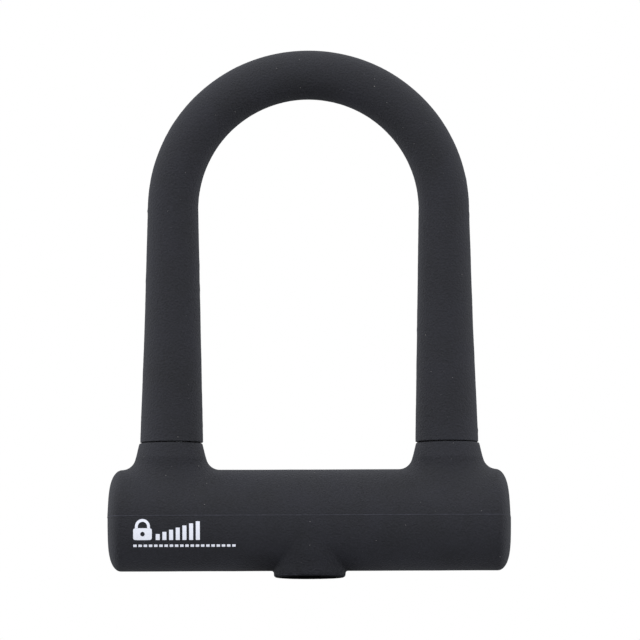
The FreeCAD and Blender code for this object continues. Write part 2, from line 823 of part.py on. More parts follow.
def make_cylinder_body():
    """The fixed shell of the lock cylinder, with a face lip, a seal groove and a clip groove."""
    low, high = size("cylinderBottom"), size("cylinderTop")
    outer, bore = size("cylinderRadius"), size("cylinderBore")
    groove_low = size("sealHeight") - size("sealSection")
    groove_high = size("sealHeight") + size("sealSection")
    groove = size("sealRadius") - size("sealSection")
    clip_low, clip_high = size("clipBottom"), size("clipBottom") + size("clipThickness")
    body = new_body("CylinderBody")
    profile = sketch_on(body, "ShellProfile", "XZ_Plane")
    face = low + size("cylinderFace")
    lip = size("cylinderFaceRadius")
    corners = [(lip, low), (outer, low), (outer, groove_low), (groove, groove_low)]
    corners += [(groove, groove_high), (outer, groove_high), (outer, high), (bore, high)]
    corners += [(bore, clip_high), (size("clipRadius"), clip_high), (size("clipRadius"), clip_low)]
    corners += [(bore, clip_low), (bore, face), (lip, face)]
    outline(profile, corners)
    revolve(body, "Shell", profile)
    pin = sketch_on(body, "LockPinGroove", "XZ_Plane")
    circle(pin, size("lockPinRadius"), x=size("lockPinOffset"), y=size("lockPinHeight"))
    pocket(body, "PinGroove", pin, outer * 2 + OVERRUN * 2, both_ways=True)
    node(body, "cylinder_body")


def make_cylinder_fittings():
    """The seal round the cylinder, the pin that locks it in, and the clip that keeps its core in."""
    ring = doc.addObject("Part::Torus", "CylinderSeal")
    drive(ring, "Radius1", size("sealRadius"))
    drive(ring, "Radius2", size("sealSection"))
    node(place(ring, 0, 0, size("sealHeight")), "cylinder_seal")
    node(lock_pin_rod("CylinderLockPin"), "cylinder_lock_pin")
    low, thickness, gap = size("clipBottom"), size("clipThickness"), size("clipGap")
    clip = rod("ClipDisc", size("clipRadius"), thickness, 0, 0, low)
    hole = rod("ClipHole", size("clipBore"), thickness, 0, 0, low)
    mouth = block("ClipMouth", size("clipRadius") + OVERRUN, gap, thickness, 0, -gap / 2, low)
    node(cut("CoreClip", clip, hole, mouth), "core_clip")


def key_slot(body, low, height, width, along_y=False):
    """The key's slot through a round piece."""
    profile = sketch_on(body, "KeySlotSection", "XY_Plane", offset=low)
    slot_outline(profile, size("keySlotLength"), width, along_y)
    pocket(body, "KeySlot", profile, height, reverse=True)


def make_core():
    """The turning core: a hardened front plate, and a slotted drum whose square tail drives the cam."""
    plate = new_body("FrontPlate")
    face = sketch_on(plate, "PlateSection", "XY_Plane", offset=size("frontPlateBottom"))
    circle(face, size("coreRadius"))
    pad(plate, "Plate", face, size("frontPlateThickness"))
    key_slot(plate, size("frontPlateBottom"), size("frontPlateThickness"), size("keySlotWidth"), True)
    node(plate, "front_plate")

    low, high, roof = size("drumBottom"), size("drumTop"), size("drumRoof")
    drum = new_body("CoreDrum")
    wall = sketch_on(drum, "DrumSection", "XY_Plane", offset=low)
    circle(wall, size("coreRadius"))
    pad(drum, "Drum", wall, high - low)
    room = sketch_on(drum, "DiscRoomSection", "XY_Plane", offset=low)
    circle(room, size("drumBore"))
    pocket(drum, "DiscRoom", room, high - roof - low, reverse=True)
    slit = sketch_on(drum, "SidebarSlit", "XY_Plane", offset=low)
    half = size("sidebarWidth") / 2
    rectangle(slit, -half, half, size("sidebarInner") - OVERRUN, size("coreRadius") + OVERRUN)
    pocket(drum, "SidebarSlot", slit, high - roof - low, reverse=True)
    tail = sketch_on(drum, "TailSection", "XY_Plane", offset=high)
    side = size("tailWidth") / 2
    rectangle(tail, -side, side, -side, side)
    pad(drum, "Tail", tail, size("camBottom") + size("camThickness") - high)
    thread = sketch_on(drum, "ScrewHoleSection", "XY_Plane", offset=size("camScrewFoot"))
    circle(thread, size("camScrewRadius"))
    depth = size("camBottom") + size("camThickness") - size("camScrewFoot")
    pocket(drum, "ScrewHole", thread, depth, reverse=True)
    node(drum, "core_drum")


def make_discs():
    """Seven detainer discs with their gates in line under the sidebar, as the key leaves them when it has
    turned each by its own code, and the spacers between them."""
    pitch = size("discThickness") + size("spacerThickness")
    length, width = size("keySlotLength"), size("keySlotWidth")
    discs, spacers = [], []
    for i, turn in enumerate(DISC_TURNS):
        low, thickness = size("drumBottom") + pitch * i, size("discThickness")
        blank = rod(f"DiscBlank{i}", size("discRadius"), thickness, 0, 0, low)
        slot = turned_slot(f"DiscSlot{i}", length, width, thickness, low, turn)
        discs.append(cut(f"Disc{i}", blank, slot, gate(f"DiscGate{i}", thickness, low)))
    for i in range(len(DISC_TURNS) - 1):
        low = size("drumBottom") + pitch * i + size("discThickness")
        thickness = size("spacerThickness")
        ring = rod(f"SpacerBlank{i}", size("discRadius"), thickness, 0, 0, low)
        hole = rod(f"SpacerHole{i}", size("spacerBore"), thickness, 0, 0, low)
        spacers.append(cut(f"Spacer{i}", ring, hole, gate(f"SpacerGate{i}", thickness, low)))
    node(group("DetainerDiscs", discs), "detainer_discs")
    node(group("DiscSpacers", spacers), "disc_spacers")
    bar_length = pitch * len(DISC_TURNS) - size("spacerThickness")
    width, inner = size("sidebarWidth"), size("sidebarInner")
    depth, low = size("sidebarOuter") - inner, size("drumBottom")
    node(block("Sidebar", width, depth, bar_length, -width / 2, inner, low), "sidebar")


def turned_slot(name, length, width, thickness, low, turn):
    """The key's slot through one disc, turned from Y by the disc's code."""
    plain = block(f"{name}Blank", width, length, thickness, -width / 2, -length / 2, low)
    turned = doc.addObject("Part::MultiFuse", name)
    turned.Shapes = [plain, rod(f"{name}Eye", width / 2, thickness, 0, 0, low)]
    turned.Placement = FreeCAD.Placement(FreeCAD.Vector(), FreeCAD.Rotation(FreeCAD.Vector(0, 0, 1), turn))
    return turned


def gate(name, thickness, low):
    """The notch that the sidebar drops into."""
    width, depth = size("gateWidth"), size("gateDepth")
    return block(name, width, depth + OVERRUN, thickness, -width / 2, size("discRadius") - depth, low)


def spiral_side(offset):
    """Points along one side of the right-hand slot: the pin's spiral, stood off square to its run."""
    rise = SIZES["boltTravel"] / math.radians(CAM_TURN)
    points = []
    for i in range(SLOT_POINTS):
        turn = math.radians(CAM_TURN) * i / (SLOT_POINTS - 1)
        radius = SIZES["boltPinOffset"] + rise * turn
        spot = FreeCAD.Vector(radius * math.cos(-turn), radius * math.sin(-turn), 0)
        run_x = rise * math.cos(turn) - radius * math.sin(turn)
        run_y = -rise * math.sin(turn) - radius * math.cos(turn)
        run = FreeCAD.Vector(run_x, run_y, 0).normalize()
        points.append(spot + FreeCAD.Vector(-run.y, run.x, 0) * offset)
    return points, spot, run


def make_slot_tool(name, turn):
    """The solid that cuts one spiral slot: two spline sides joined by a half circle at each end."""
    half = SIZES["boltPinRadius"] + SIZES["runGap"]
    left, end, end_run = spiral_side(half)
    right, _, _ = spiral_side(-half)
    start = FreeCAD.Vector(SIZES["boltPinOffset"], 0, 0)
    start_run = FreeCAD.Vector(
        SIZES["boltTravel"] / math.radians(CAM_TURN), -SIZES["boltPinOffset"], 0
    ).normalize()
    sides = []
    for points in (left, right):
        curve = Part.BSplineCurve()
        curve.interpolate(points)
        sides.append(curve.toShape())
    near = Part.Arc(left[0], start - start_run * half, right[0]).toShape()
    far = Part.Arc(left[-1], end + end_run * half, right[-1]).toShape()
    wire = Part.Wire(Part.__sortEdges__([sides[0], far, sides[1], near]))
    tool = doc.addObject("Part::Feature", name)
    tool.Shape = Part.Face(wire).extrude(FreeCAD.Vector(0, 0, SIZES["camThickness"] + OVERRUN * 2))
    upright = FreeCAD.Vector(0, 0, 1)
    base = FreeCAD.Vector(0, 0, SIZES["camBottom"] - OVERRUN)
    tool.Placement = FreeCAD.Placement(base, FreeCAD.Rotation(upright, turn))
    return tool


def make_cam():
    """The cam: a disc with two spiral slots that move both bolts the same way out for each degree."""
    low, thickness = size("camBottom"), size("camThickness")
    disc = rod("CamDisc", size("camRadius"), thickness, 0, 0, low)
    width = size("tailWidth")
    square = block("CamSquare", width, width, thickness, -width / 2, -width / 2, low)
    slots = [make_slot_tool("RightSlot", 0), make_slot_tool("LeftSlot", 180)]
    node(cut("LockingCam", disc, square, *slots), "locking_cam")
    top = low + thickness
    head = rod("CamScrewHead", size("camScrewHead"), size("camScrewHeadHeight"), 0, 0, top)
    foot = size("camScrewFoot")
    shank = rod("CamScrewShank", size("camScrewRadius"), top - foot, 0, 0, foot)
    reach, width, depth = size("camScrewHead"), size("camScrewHeadSlot"), size("camScrewHeadHeight") / 2
    groove = block("CamScrewSlot", reach * 2, width, depth, -reach, -width / 2, top + depth)
    node(cut("CamScrew", fuse("CamScrewBlank", head, shank), groove), "cam_screw")


# ---- bezel and dust cover -------------------------------------------------------------------------------


def make_bezel():
    """The steel ring pressed on the cylinder's nose, which keeps the dust cover in."""
    low, lip, top = size("bossLipHeight"), size("bezelLip"), size("bezelTop")
    outer, mouth, seat = size("bezelRadius"), size("bezelMouth"), size("bezelSeat")
    nose = size("cylinderBottom")
    body = new_body("KeywayBezel")
    profile = sketch_on(body, "BezelProfile", "XZ_Plane")
    corners = [(mouth, low), (outer, low), (outer, top), (size("cylinderRadius"), top)]
    corners += [(size("cylinderRadius"), nose), (seat, nose), (seat, low + lip), (mouth, low + lip)]
    outline(profile, corners)
    revolve(body, "Bezel", profile)
    node(body, "keyway_bezel")


def make_dust_cover():
    """The turning dust cover, with the key's slot and a thumb rib on each side of it, and its washer."""
    body = new_body("DustCover")
    flange, low, top = size("coverFlangeBottom"), size("coverBottom"), size("coverTop")
    profile = sketch_on(body, "CoverProfile", "XZ_Plane")
    corners = [(0, low), (size("coverRadius"), low), (size("coverRadius"), flange)]
    corners += [(size("coverFlangeRadius"), flange), (size("coverFlangeRadius"), top), (0, top)]
    outline(profile, corners)
    revolve(body, "Cover", profile)
    ribs = sketch_on(body, "RibSection", "XY_Plane", offset=low)
    near, half = size("coverRibOffset"), size("coverRibLength") / 2
    for side in (1, -1):
        rectangle(ribs, -half, half, near * side, (near + size("coverRibWidth")) * side)
    grip = pad(body, "ThumbRibs", ribs, size("coverRibHeight"))
    grip.Reversed = True
    key_slot(body, low, top - low, size("coverSlotWidth"))
    node(body, "dust_cover")

    washer = new_body("CoverWasher")
    ring = sketch_on(washer, "WasherProfile", "XZ_Plane")
    base, rise, thickness = top + size("washerGap"), size("washerRise"), size("washerThickness")
    outer, bore = size("washerRadius"), size("washerBore")
    corners = [(outer, base), (outer, base + thickness)]
    corners += [(bore, base + thickness + rise), (bore, base + rise)]
    outline(ring, corners)
    revolve(washer, "SpringWasher", ring)
    node(washer, "cover_washer")


def check(target):
    """Stops if a sub-part failed, or isn't made of valid closed solids."""
    shape = target.Shape
    if shape.isNull() or not shape.isValid() or not shape.Solids:
        raise ValueError(f"{target.Label} has no valid shape")
    if any(not solid.isClosed() or solid.Volume <= 0 for solid in shape.Solids):
        raise ValueError(f"{target.Label} has an open or empty solid")


def main():
    make_sheet()
    make_shackle_bar()
    make_shackle_jacket()
    make_crossbar_jacket()
    make_crossbar_tube()
    make_end_plugs()
    make_end_plug_pins()
    make_leg_sockets()
    make_bolts()
    make_carrier()
    make_carrier_screws()
    make_cylinder_body()
    make_cylinder_fittings()
    make_core()
    make_discs()
    make_cam()
    make_bezel()
    make_dust_cover()
    doc.recompute()
    failed = [o.Label for o in doc.Objects if {"Invalid", "Error"} & set(o.State)]
    if failed:
        raise ValueError(f"these objects failed: {failed}")
    os.makedirs("parts", exist_ok=True)
    for target in subparts:
        check(target)
    for target in subparts:
        target.Shape.exportStep(os.path.join("parts", f"{target.Label}.step"))
        print(f"{target.Label:20s} {len(target.Shape.Solids)} solid(s) {target.Shape.Volume:10.1f} mm3")


main()
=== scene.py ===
import json
import math
import bmesh
import bpy
import numpy as np
from mathutils import Matrix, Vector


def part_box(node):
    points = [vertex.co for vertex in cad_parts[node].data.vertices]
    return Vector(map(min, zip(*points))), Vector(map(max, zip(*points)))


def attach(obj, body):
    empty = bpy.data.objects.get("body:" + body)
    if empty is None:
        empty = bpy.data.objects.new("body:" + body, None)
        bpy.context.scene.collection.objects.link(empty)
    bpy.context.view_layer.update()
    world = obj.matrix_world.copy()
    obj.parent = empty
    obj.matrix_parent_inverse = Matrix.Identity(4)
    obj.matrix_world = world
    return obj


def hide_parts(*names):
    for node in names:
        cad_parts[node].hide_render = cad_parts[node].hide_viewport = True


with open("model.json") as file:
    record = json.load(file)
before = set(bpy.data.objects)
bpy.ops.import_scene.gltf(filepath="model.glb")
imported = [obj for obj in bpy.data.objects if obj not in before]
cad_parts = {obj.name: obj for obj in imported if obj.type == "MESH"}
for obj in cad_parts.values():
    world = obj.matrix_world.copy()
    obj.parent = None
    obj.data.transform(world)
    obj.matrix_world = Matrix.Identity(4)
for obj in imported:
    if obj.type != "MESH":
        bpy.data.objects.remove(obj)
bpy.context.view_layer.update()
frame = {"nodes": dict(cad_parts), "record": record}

mm = 0.001


def linear(hexColour):
    # sRGB hex to the linear RGBA that shaders take
    parts = [int(hexColour[i:i + 2], 16) / 255 for i in (1, 3, 5)]
    curve = [c / 12.92 if c <= 0.04045 else ((c + 0.055) / 1.055) ** 2.4 for c in parts]
    return (*curve, 1.0)


def boxInMm(node):
    # a node's lowest and highest corners
    return [np.array(corner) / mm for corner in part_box(node)]


def addNode(tree, kind, inputs=None, **settings):
    # one node with its settings; each input is a value or another node's output
    node = tree.nodes.new(kind)
    for key, value in settings.items():
        setattr(node, key, value)
    for key, value in (inputs or {}).items():
        socket = node.inputs[key]
        if isinstance(value, bpy.types.NodeSocket):
            tree.links.new(value, socket)
        else:
            socket.default_value = value
    return node


def newObject(name, data):
    made = bpy.data.objects.new(name, data)
    bpy.context.scene.collection.objects.link(made)
    return made


def meshObject(name, points, faces, material, sharpAngle=None):
    mesh = bpy.data.meshes.new(name)
    mesh.from_pydata([tuple(p) for p in points], [], [tuple(f) for f in faces])
    mesh.materials.append(material)
    mesh.validate()
    made = newObject(name, mesh)
    smoothOver(made, sharpAngle)
    return made


def smoothOver(piece, sharpAngle=None):
    # smooth shading, with edges past the angle left crisp
    piece.data.polygons.foreach_set("use_smooth", [True] * len(piece.data.polygons))
    if sharpAngle:
        piece.data.set_sharp_from_angle(angle=math.radians(sharpAngle))
    piece.data.update()


def plainCopy(source, name):
    # the evaluated object as a plain mesh, with its modifiers gone
    graph = bpy.context.evaluated_depsgraph_get()
    mesh = bpy.data.meshes.new_from_object(source.evaluated_get(graph))
    mesh.name = name
    bpy.data.objects.remove(source)
    return newObject(name, mesh)


def newTree(name, sockets):
    # a geometry tree that takes geometry and the named sizes
    tree = bpy.data.node_groups.new(name, "GeometryNodeTree")
    tree.interface.new_socket("Geometry", in_out="INPUT", socket_type="NodeSocketGeometry")
    for label, kind in sockets.items():
        tree.interface.new_socket(label, in_out="INPUT", socket_type=f"NodeSocket{kind}")
    tree.interface.new_socket("Geometry", in_out="OUTPUT", socket_type="NodeSocketGeometry")
    return tree, addNode(tree, "NodeGroupInput").outputs


def closeTree(tree, geometry, material):
    real = addNode(tree, "GeometryNodeRealizeInstances", {"Geometry": geometry}).outputs[0]
    painted = addNode(tree, "GeometryNodeSetMaterial", {"Geometry": real, "Material": material})
    addNode(tree, "NodeGroupOutput", {"Geometry": painted.outputs[0]})


def grow(base, tree, values, name):
    # runs a geometry tree on base and keeps the result as a plain mesh
    modifier = base.modifiers.new(name, "NODES")
    modifier.node_group = tree
    for item in tree.interface.items_tree:
        if item.item_type == "SOCKET" and item.in_out == "INPUT" and item.name in values:
            modifier[item.identifier] = values[item.name]
    base.update_tag()
    return plainCopy(base, name)


def startMaterial(name, colour, roughness, metallic=0.0, ior=1.5):
    made = bpy.data.materials.new(name)
    made.use_nodes = True
    tree = made.node_tree
    shader = tree.nodes["Principled BSDF"]
    shader.inputs["Base Color"].default_value = linear(colour)
    shader.inputs["Roughness"].default_value = roughness
    shader.inputs["Metallic"].default_value = metallic
    if not metallic:
        shader.inputs["IOR"].default_value = ior
    place = addNode(tree, "ShaderNodeTexCoord").outputs["Object"]
    return made, tree, shader.inputs, place


def overmouldedSilicone():
    # silicone rubber moulded over steel in a spark-eroded tool: matt, blue-black, with a faint bloom
    made, tree, shader, place = startMaterial("overmoulded_silicone", "#17171c", 0.6, ior=1.41)
    bloom = addNode(tree, "ShaderNodeTexNoise", {"Vector": place, "Scale": 1 / (14 * mm), "Detail": 3.0})
    matt = addNode(tree, "ShaderNodeMapRange", {"Value": bloom.outputs[0], "To Min": 0.52, "To Max": 0.7})
    # real erosion grain is about 0.1 mm, drawn coarser so that it shows
    grain = addNode(tree, "ShaderNodeTexNoise", {"Vector": place, "Scale": 1 / (0.7 * mm), "Detail": 2.0})
    relief = addNode(
        tree, "ShaderNodeBump", {"Height": grain.outputs[0], "Distance": 0.4 * mm, "Strength": 1.0}
    )
    both = addNode(tree, "ShaderNodeMath", {0: grain.outputs[0], 1: bloom.outputs[0]}, operation="ADD")
    pale = addNode(tree, "ShaderNodeMapRange", {"Value": both.outputs[0], "From Min": 0.7, "From Max": 1.3})
    tone = addNode(
        tree, "ShaderNodeMix", {0: pale.outputs[0], 6: linear("#0f0f13"), 7: linear("#1f1f25")},
        data_type="RGBA",
    )
    tree.links.new(tone.outputs[2], shader["Base Color"])
    tree.links.new(matt.outputs[0], shader["Roughness"])
    tree.links.new(relief.outputs[0], shader["Normal"])
    shader["Sheen Weight"].default_value = 0.05
    shader["Sheen Roughness"].default_value = 0.4
    return made


def rubbedHighlitSilicone():
    # the same silicone where a thin edge has been trimmed and rubbed: drier and more broken, and paler,
    # partly from the rubbing and partly as a painted highlight for the light that the thin ridges catch
    made, tree, shader, place = startMaterial("rubbed_silicone_painted_highlight", "#2b2b31", 0.75, ior=1.41)
    rubAndHighlight = addNode(tree, "ShaderNodeTexNoise", {"Vector": place, "Scale": 1 / (1.5 * mm), "Detail": 3.0})
    # the pale end of this mix is partly rubbed wear and partly painted highlight
    tone = addNode(
        tree, "ShaderNodeMix", {0: rubAndHighlight.outputs[0], 6: linear("#1f1f24"), 7: linear("#4a4a52")},
        data_type="RGBA",
    )
    tree.links.new(tone.outputs[2], shader["Base Color"])
    return made


def padPrintInk():
    # white pad-printing ink: one thin matt coat, a little thinner in places where the grain takes it up
    made, tree, shader, place = startMaterial("pad_print_ink", "#f9faff", 0.5)
    cover = addNode(tree, "ShaderNodeTexNoise", {"Vector": place, "Scale": 1 / (0.8 * mm), "Detail": 2.0})
    tone = addNode(
        tree, "ShaderNodeMix", {0: cover.outputs[0], 6: linear("#eceef9"), 7: linear("#ffffff")},
        data_type="RGBA",
    )
    tree.links.new(tone.outputs[2], shader["Base Color"])
    return made


def lintDust():
    # pale lint and skin dust, which silicone always picks up: dry and without any shine
    made, tree, shader, place = startMaterial("lint_dust", "#8d8a86", 0.9)
    cloud = addNode(tree, "ShaderNodeTexNoise", {"Vector": place, "Scale": 1 / (3 * mm), "Detail": 1.0})
    tone = addNode(
        tree, "ShaderNodeMix", {0: cloud.outputs[0], 6: linear("#5f5e61"), 7: linear("#b0a9a1")},
        data_type="RGBA",
    )
    tree.links.new(tone.outputs[2], shader["Base Color"])
    return made


def metalFinish(name, dark, light, roughness, lineLength, lineWidth, depth, along="z"):
    # metal that varies between two tones, with the marks of its making drawn out along one direction;
    # the marks' length, width and depth are in mm
    made, tree, shader, place = startMaterial(name, light, roughness, 1.0)
    stretch = [lineWidth / lineLength if axis == along else 1.0 for axis in "xyz"]
    drawn = addNode(tree, "ShaderNodeMapping", {"Vector": place, "Scale": stretch})
    lines = addNode(
        tree, "ShaderNodeTexNoise",
        {"Vector": drawn.outputs[0], "Scale": 1 / (lineWidth * mm), "Detail": 3.0},
    )
    stain = addNode(tree, "ShaderNodeTexNoise", {"Vector": place, "Scale": 1 / (6 * mm), "Detail": 3.0})
    tone = addNode(
        tree, "ShaderNodeMix", {0: stain.outputs[0], 6: linear(dark), 7: linear(light)},
        data_type="RGBA",
    )
    worn = addNode(
        tree, "ShaderNodeMapRange",
        {"Value": lines.outputs[0], "To Min": roughness - 0.15, "To Max": roughness + 0.15},
    )
    relief = addNode(
        tree, "ShaderNodeBump", {"Height": lines.outputs[0], "Distance": depth * mm, "Strength": 0.4}
    )
    tree.links.new(tone.outputs[2], shader["Base Color"])
    tree.links.new(worn.outputs[0], shader["Roughness"])
    tree.links.new(relief.outputs[0], shader["Normal"])
    return made


def mouldedPlastic(name, dark, light, roughness, ior):
    # injection moulded, with the fine texture of the tool and a slow drift in tone
    made, tree, shader, place = startMaterial(name, light, roughness, ior=ior)
    cloud = addNode(tree, "ShaderNodeTexNoise", {"Vector": place, "Scale": 1 / (5 * mm), "Detail": 2.0})
    grain = addNode(tree, "ShaderNodeTexNoise", {"Vector": place, "Scale": 1 / (0.3 * mm), "Detail": 1.0})
    tone = addNode(
        tree, "ShaderNodeMix", {0: cloud.outputs[0], 6: linear(dark), 7: linear(light)},
        data_type="RGBA",
    )
    matt = addNode(
        tree, "ShaderNodeMapRange",
        {"Value": grain.outputs[0], "To Min": roughness - 0.1, "To Max": roughness + 0.1},
    )
    relief = addNode(
        tree, "ShaderNodeBump", {"Height": grain.outputs[0], "Distance": 0.01 * mm, "Strength": 0.5}
    )
    tree.links.new(tone.outputs[2], shader["Base Color"])
    tree.links.new(matt.outputs[0], shader["Roughness"])
    tree.links.new(relief.outputs[0], shader["Normal"])
    return made


print("materials")
silicone = overmouldedSilicone()
rubbedAndHighlit = rubbedHighlitSilicone()
ink = padPrintInk()
dust = lintDust()
finishes = {
    # zinc electroplate over drawn bar, clear passivated: bright and slightly blue, softened by handling
    "plated_steel": metalFinish("zinc_plated_steel", "#a4a7a8", "#cbcdcc", 0.34, 9, 0.3, 0.01),
    # drawn tube, hardened and phosphated: dark grey and dull, with an even crystal grain
    "tube_steel": metalFinish("phosphated_steel", "#3a3b3c", "#515254", 0.55, 1, 0.8, 0.01),
    # turned from bar on a lathe: clean grey with fine rings that streak the highlight
    "machined_steel": metalFinish("turned_steel", "#97989a", "#bfc0c1", 0.3, 5, 0.2, 0.01, "x"),
    # blanked from cold-rolled strip: darker and smoother, with the rolling lines along it
    "spring_steel": metalFinish("rolled_spring_steel", "#77787b", "#98999d", 0.3, 6, 0.3, 0.005),
    # hot-chamber die casting, tumbled: warm grey, cloudy and a little pebbled
    "zinc_casting": metalFinish("die_cast_zinc", "#868a8d", "#a9adb0", 0.5, 1.5, 1, 0.03),
    # cold-headed and black-oxided: nearly black, with an oily half shine
    "screw_steel": metalFinish("black_oxide_steel", "#232427", "#36383c", 0.42, 1, 0.6, 0.01),
    # turned brass, left bare: yellow, going browner where it has tarnished
    "brass": metalFinish("turned_brass", "#a9833c", "#d8b66a", 0.3, 4, 0.2, 0.01, "x"),
    # turned stainless, left bare: a warmer, brighter grey than the zinc, with a finer cut
    "stainless": metalFinish("turned_stainless", "#adaca8", "#cfceca", 0.28, 4, 0.2, 0.01, "x"),
    # glass-filled nylon: black with a dry, slightly greyish skin
    "cover_plastic": mouldedPlastic("moulded_nylon", "#18191b", "#292a2e", 0.45, 1.53),
    # natural acetal: milky white and waxy
    "bush_plastic": mouldedPlastic("moulded_acetal", "#c8c4b7", "#e3e0d8", 0.35, 1.48),
    # nitrile rubber: plain black, duller than the silicone
    "seal_rubber": mouldedPlastic("nitrile_rubber", "#131314", "#212123", 0.6, 1.52),
    "silicone": silicone,
}
for entry in frame["record"]["subparts"]:
    slots = frame["nodes"][entry["node"]].data.materials
    slots.clear()
    slots.append(finishes[entry["material_slot"]])


tubeLow, tubeHigh = boxInMm("crossbar_tube")
skinHigh = boxInMm("crossbar_jacket")[1]
socketLow, socketHigh = boxInMm("right_leg_socket")
bezelLow, bezelHigh = boxInMm("keyway_bezel")
axisHeight = (tubeLow[2] + tubeHigh[2]) / 2
crossbar = {                        # all in mm; the skin's own sizes, on the frame's boxes
    "radius": skinHigh[1] - 0.08,   # leaves room in the frame's box for the parting flash
    "halfLength": skinHigh[0] - 0.22,
    "endShift": 0.2,                # how far to the left the jacket's ends sit on the tube
    "tallness": 1.01,               # height over width: a rubber tool never shuts quite flat
    "endDepth": 5.0,                # the ends round off over this length, flatter than a half circle
    "draft": 0.035,                 # how much the ends lean in above the parting plane
    "neckOffset": 51.95,
    "neckTop": 11.84,
    "neckBase": 13.2,
    "neckHeight": skinHigh[2] - axisHeight,
    "coneHeight": 5.7,
    "neckRoot": 5.2,
    "lip": 0.45,
    "bossRadius": 13.6,
    "bossDraft": 0.09,
    "bossTaper": 6,                 # how high up the boss its draft goes
    "bossRim": 1.0,
    "bossRoot": 0.7,                # the fillet where the boss leaves the bar at its sides
    "bossBlend": 4.0,               # how much more of a fillet it has at the front and back
    "mouthRadius": 11.65,
    "seamHeight": 0.95,             # the tool's parting plane above the axis
    "seamSlip": 0.1,                # how far the tool's lower half sits out of line
    "seamStep": 0.08,               # how much smaller it is
    "cell": 0.6,                    # size of the mesh's faces
    "margin": 1.5,                  # how far the worked-out space goes past the skin
    "wave": 0.02,                   # how uneven the moulding is
    "cutSides": 128,                # flats round the cutting cylinders
    "sliver": 0.01,                 # cutting leaves slivers, and those thinner than this go
    "crispAngle": 42,
}


def roundUnion(a, b, radius):
    # joins two bodies with a fillet
    inner = np.hypot(np.maximum(radius - a, 0), np.maximum(radius - b, 0))
    return np.maximum(radius, np.minimum(a, b)) - inner


def roundCommon(a, b, radius):
    # where two bodies overlap, with the edge rounded off
    outer = np.hypot(np.maximum(a + radius, 0), np.maximum(b + radius, 0))
    return np.minimum(-radius, np.maximum(a, b)) + outer


def skinDistance(p):
    # distance in mm from the skin, for points whose origin is on the crossbar's axis
    c = crossbar
    x, y, z = p[..., 0], p[..., 1], p[..., 2]
    slid = np.abs(x + c["endShift"] - c["seamSlip"] * (z < c["seamHeight"])) + c["draft"] * np.maximum(z, 0)
    out = np.hypot(y, z / c["tallness"]) / (c["radius"] - c["seamStep"] * (z < c["seamHeight"]))
    deep = np.maximum(slid - (c["halfLength"] - c["seamSlip"] - c["endDepth"]), 0) / c["endDepth"]
    # dividing by how steeply the round-ended form's value grows makes it nearly a distance
    size = np.maximum(out ** 4 + deep ** 2, 1e-6) ** 0.25
    steep = np.hypot(out ** 3, deep * c["radius"] / c["endDepth"] / 2) / size ** 3
    bar = c["radius"] * (size - 1) / np.clip(steep, 1, 2)
    cone = np.clip((z - c["neckHeight"] + c["coneHeight"]) / c["coneHeight"], 0, 1)
    side = np.hypot(np.abs(x) - c["neckOffset"], y) - c["neckBase"] - (c["neckTop"] - c["neckBase"]) * cone
    neck = np.maximum(roundCommon(side, z - c["neckHeight"], c["lip"]), -z)
    wall = np.hypot(x, y) - c["bossRadius"] - c["bossDraft"] * np.minimum(z + c["radius"], c["bossTaper"])
    boss = roundCommon(wall, -z - axisHeight, c["bossRim"])
    root = c["bossRoot"] + c["bossBlend"] * np.maximum(0, 1 - (x / c["bossRadius"]) ** 2)
    return roundUnion(roundUnion(bar, neck, c["neckRoot"]), np.maximum(boss, z), root)


def surfaceNet(field, low, cell):
    # a quad mesh of where field changes sign: one vertex in each cell that the surface crosses
    inside = field < 0
    cells = tuple(n - 1 for n in field.shape)
    total, count = np.zeros((*cells, 3)), np.zeros(cells)
    shifts = [(i, j) for i in (0, 1) for j in (0, 1)]
    crossings = []
    for axis in range(3):
        others = [a for a in range(3) if a != axis]
        near = np.take(field, range(cells[axis]), axis)
        far = np.take(field, range(1, cells[axis] + 1), axis)
        crosses = (near < 0) != (far < 0)
        share = np.where(crosses, near / np.where(crosses, near - far, 1), 0)
        crossings.append(crosses)
        for i, j in shifts:
            pick = [slice(None)] * 3
            pick[others[0]] = slice(i, i + cells[others[0]])
            pick[others[1]] = slice(j, j + cells[others[1]])
            hit, along = crosses[tuple(pick)], share[tuple(pick)]
            spot = np.zeros((*cells, 3))
            spot[..., axis], spot[..., others[0]], spot[..., others[1]] = along, i, j
            total += spot * hit[..., None]
            count += hit
    used = count > 0
    ids = np.full(cells, -1)
    ids[used] = np.arange(used.sum())
    where = np.argwhere(used)
    points = low + cell * (where + total[used] / count[used][:, None])
    quads = []
    for axis in range(3):
        a, b = [(axis + 1) % 3, (axis + 2) % 3]
        spots = np.argwhere(crossings[axis])
        keep = (spots[:, a] > 0) & (spots[:, b] > 0) & (spots[:, a] < cells[a]) & (spots[:, b] < cells[b])
        spots = spots[keep]
        corners = []
        for da, db in ((1, 1), (0, 1), (0, 0), (1, 0)):
            at = spots.copy()
            at[:, a] -= da
            at[:, b] -= db
            corners.append(ids[tuple(at.T)])
        ring = np.stack(corners, 1)
        starts = inside[tuple(spots.T)]
        ring[~starts] = ring[~starts][:, ::-1]
        quads.append(ring)
    return points, np.concatenate(quads)


def ontoSkin(points):
    # moves points on to the skin along its slope, and gives the way out of it too
    rounds, step, flattest = 4, 0.02, 0.2
    for _ in range(rounds):
        slope = np.stack(
            [skinDistance(points + step * e) - skinDistance(points - step * e) for e in np.eye(3)], -1
        ) / (2 * step)
        size = np.maximum((slope ** 2).sum(-1, keepdims=True), flattest)
        points = points - skinDistance(points)[..., None] * slope / size
    return points, slope / np.sqrt(size)


def swell(points, height):
    # the long slow unevenness of a moulded part
    x, y, z = points.T
    return height * (np.sin(x / 6.1 + 1.3) * np.cos(z / 7.3) + np.sin(x / 11.7 + z / 5.2 + y / 8.9))


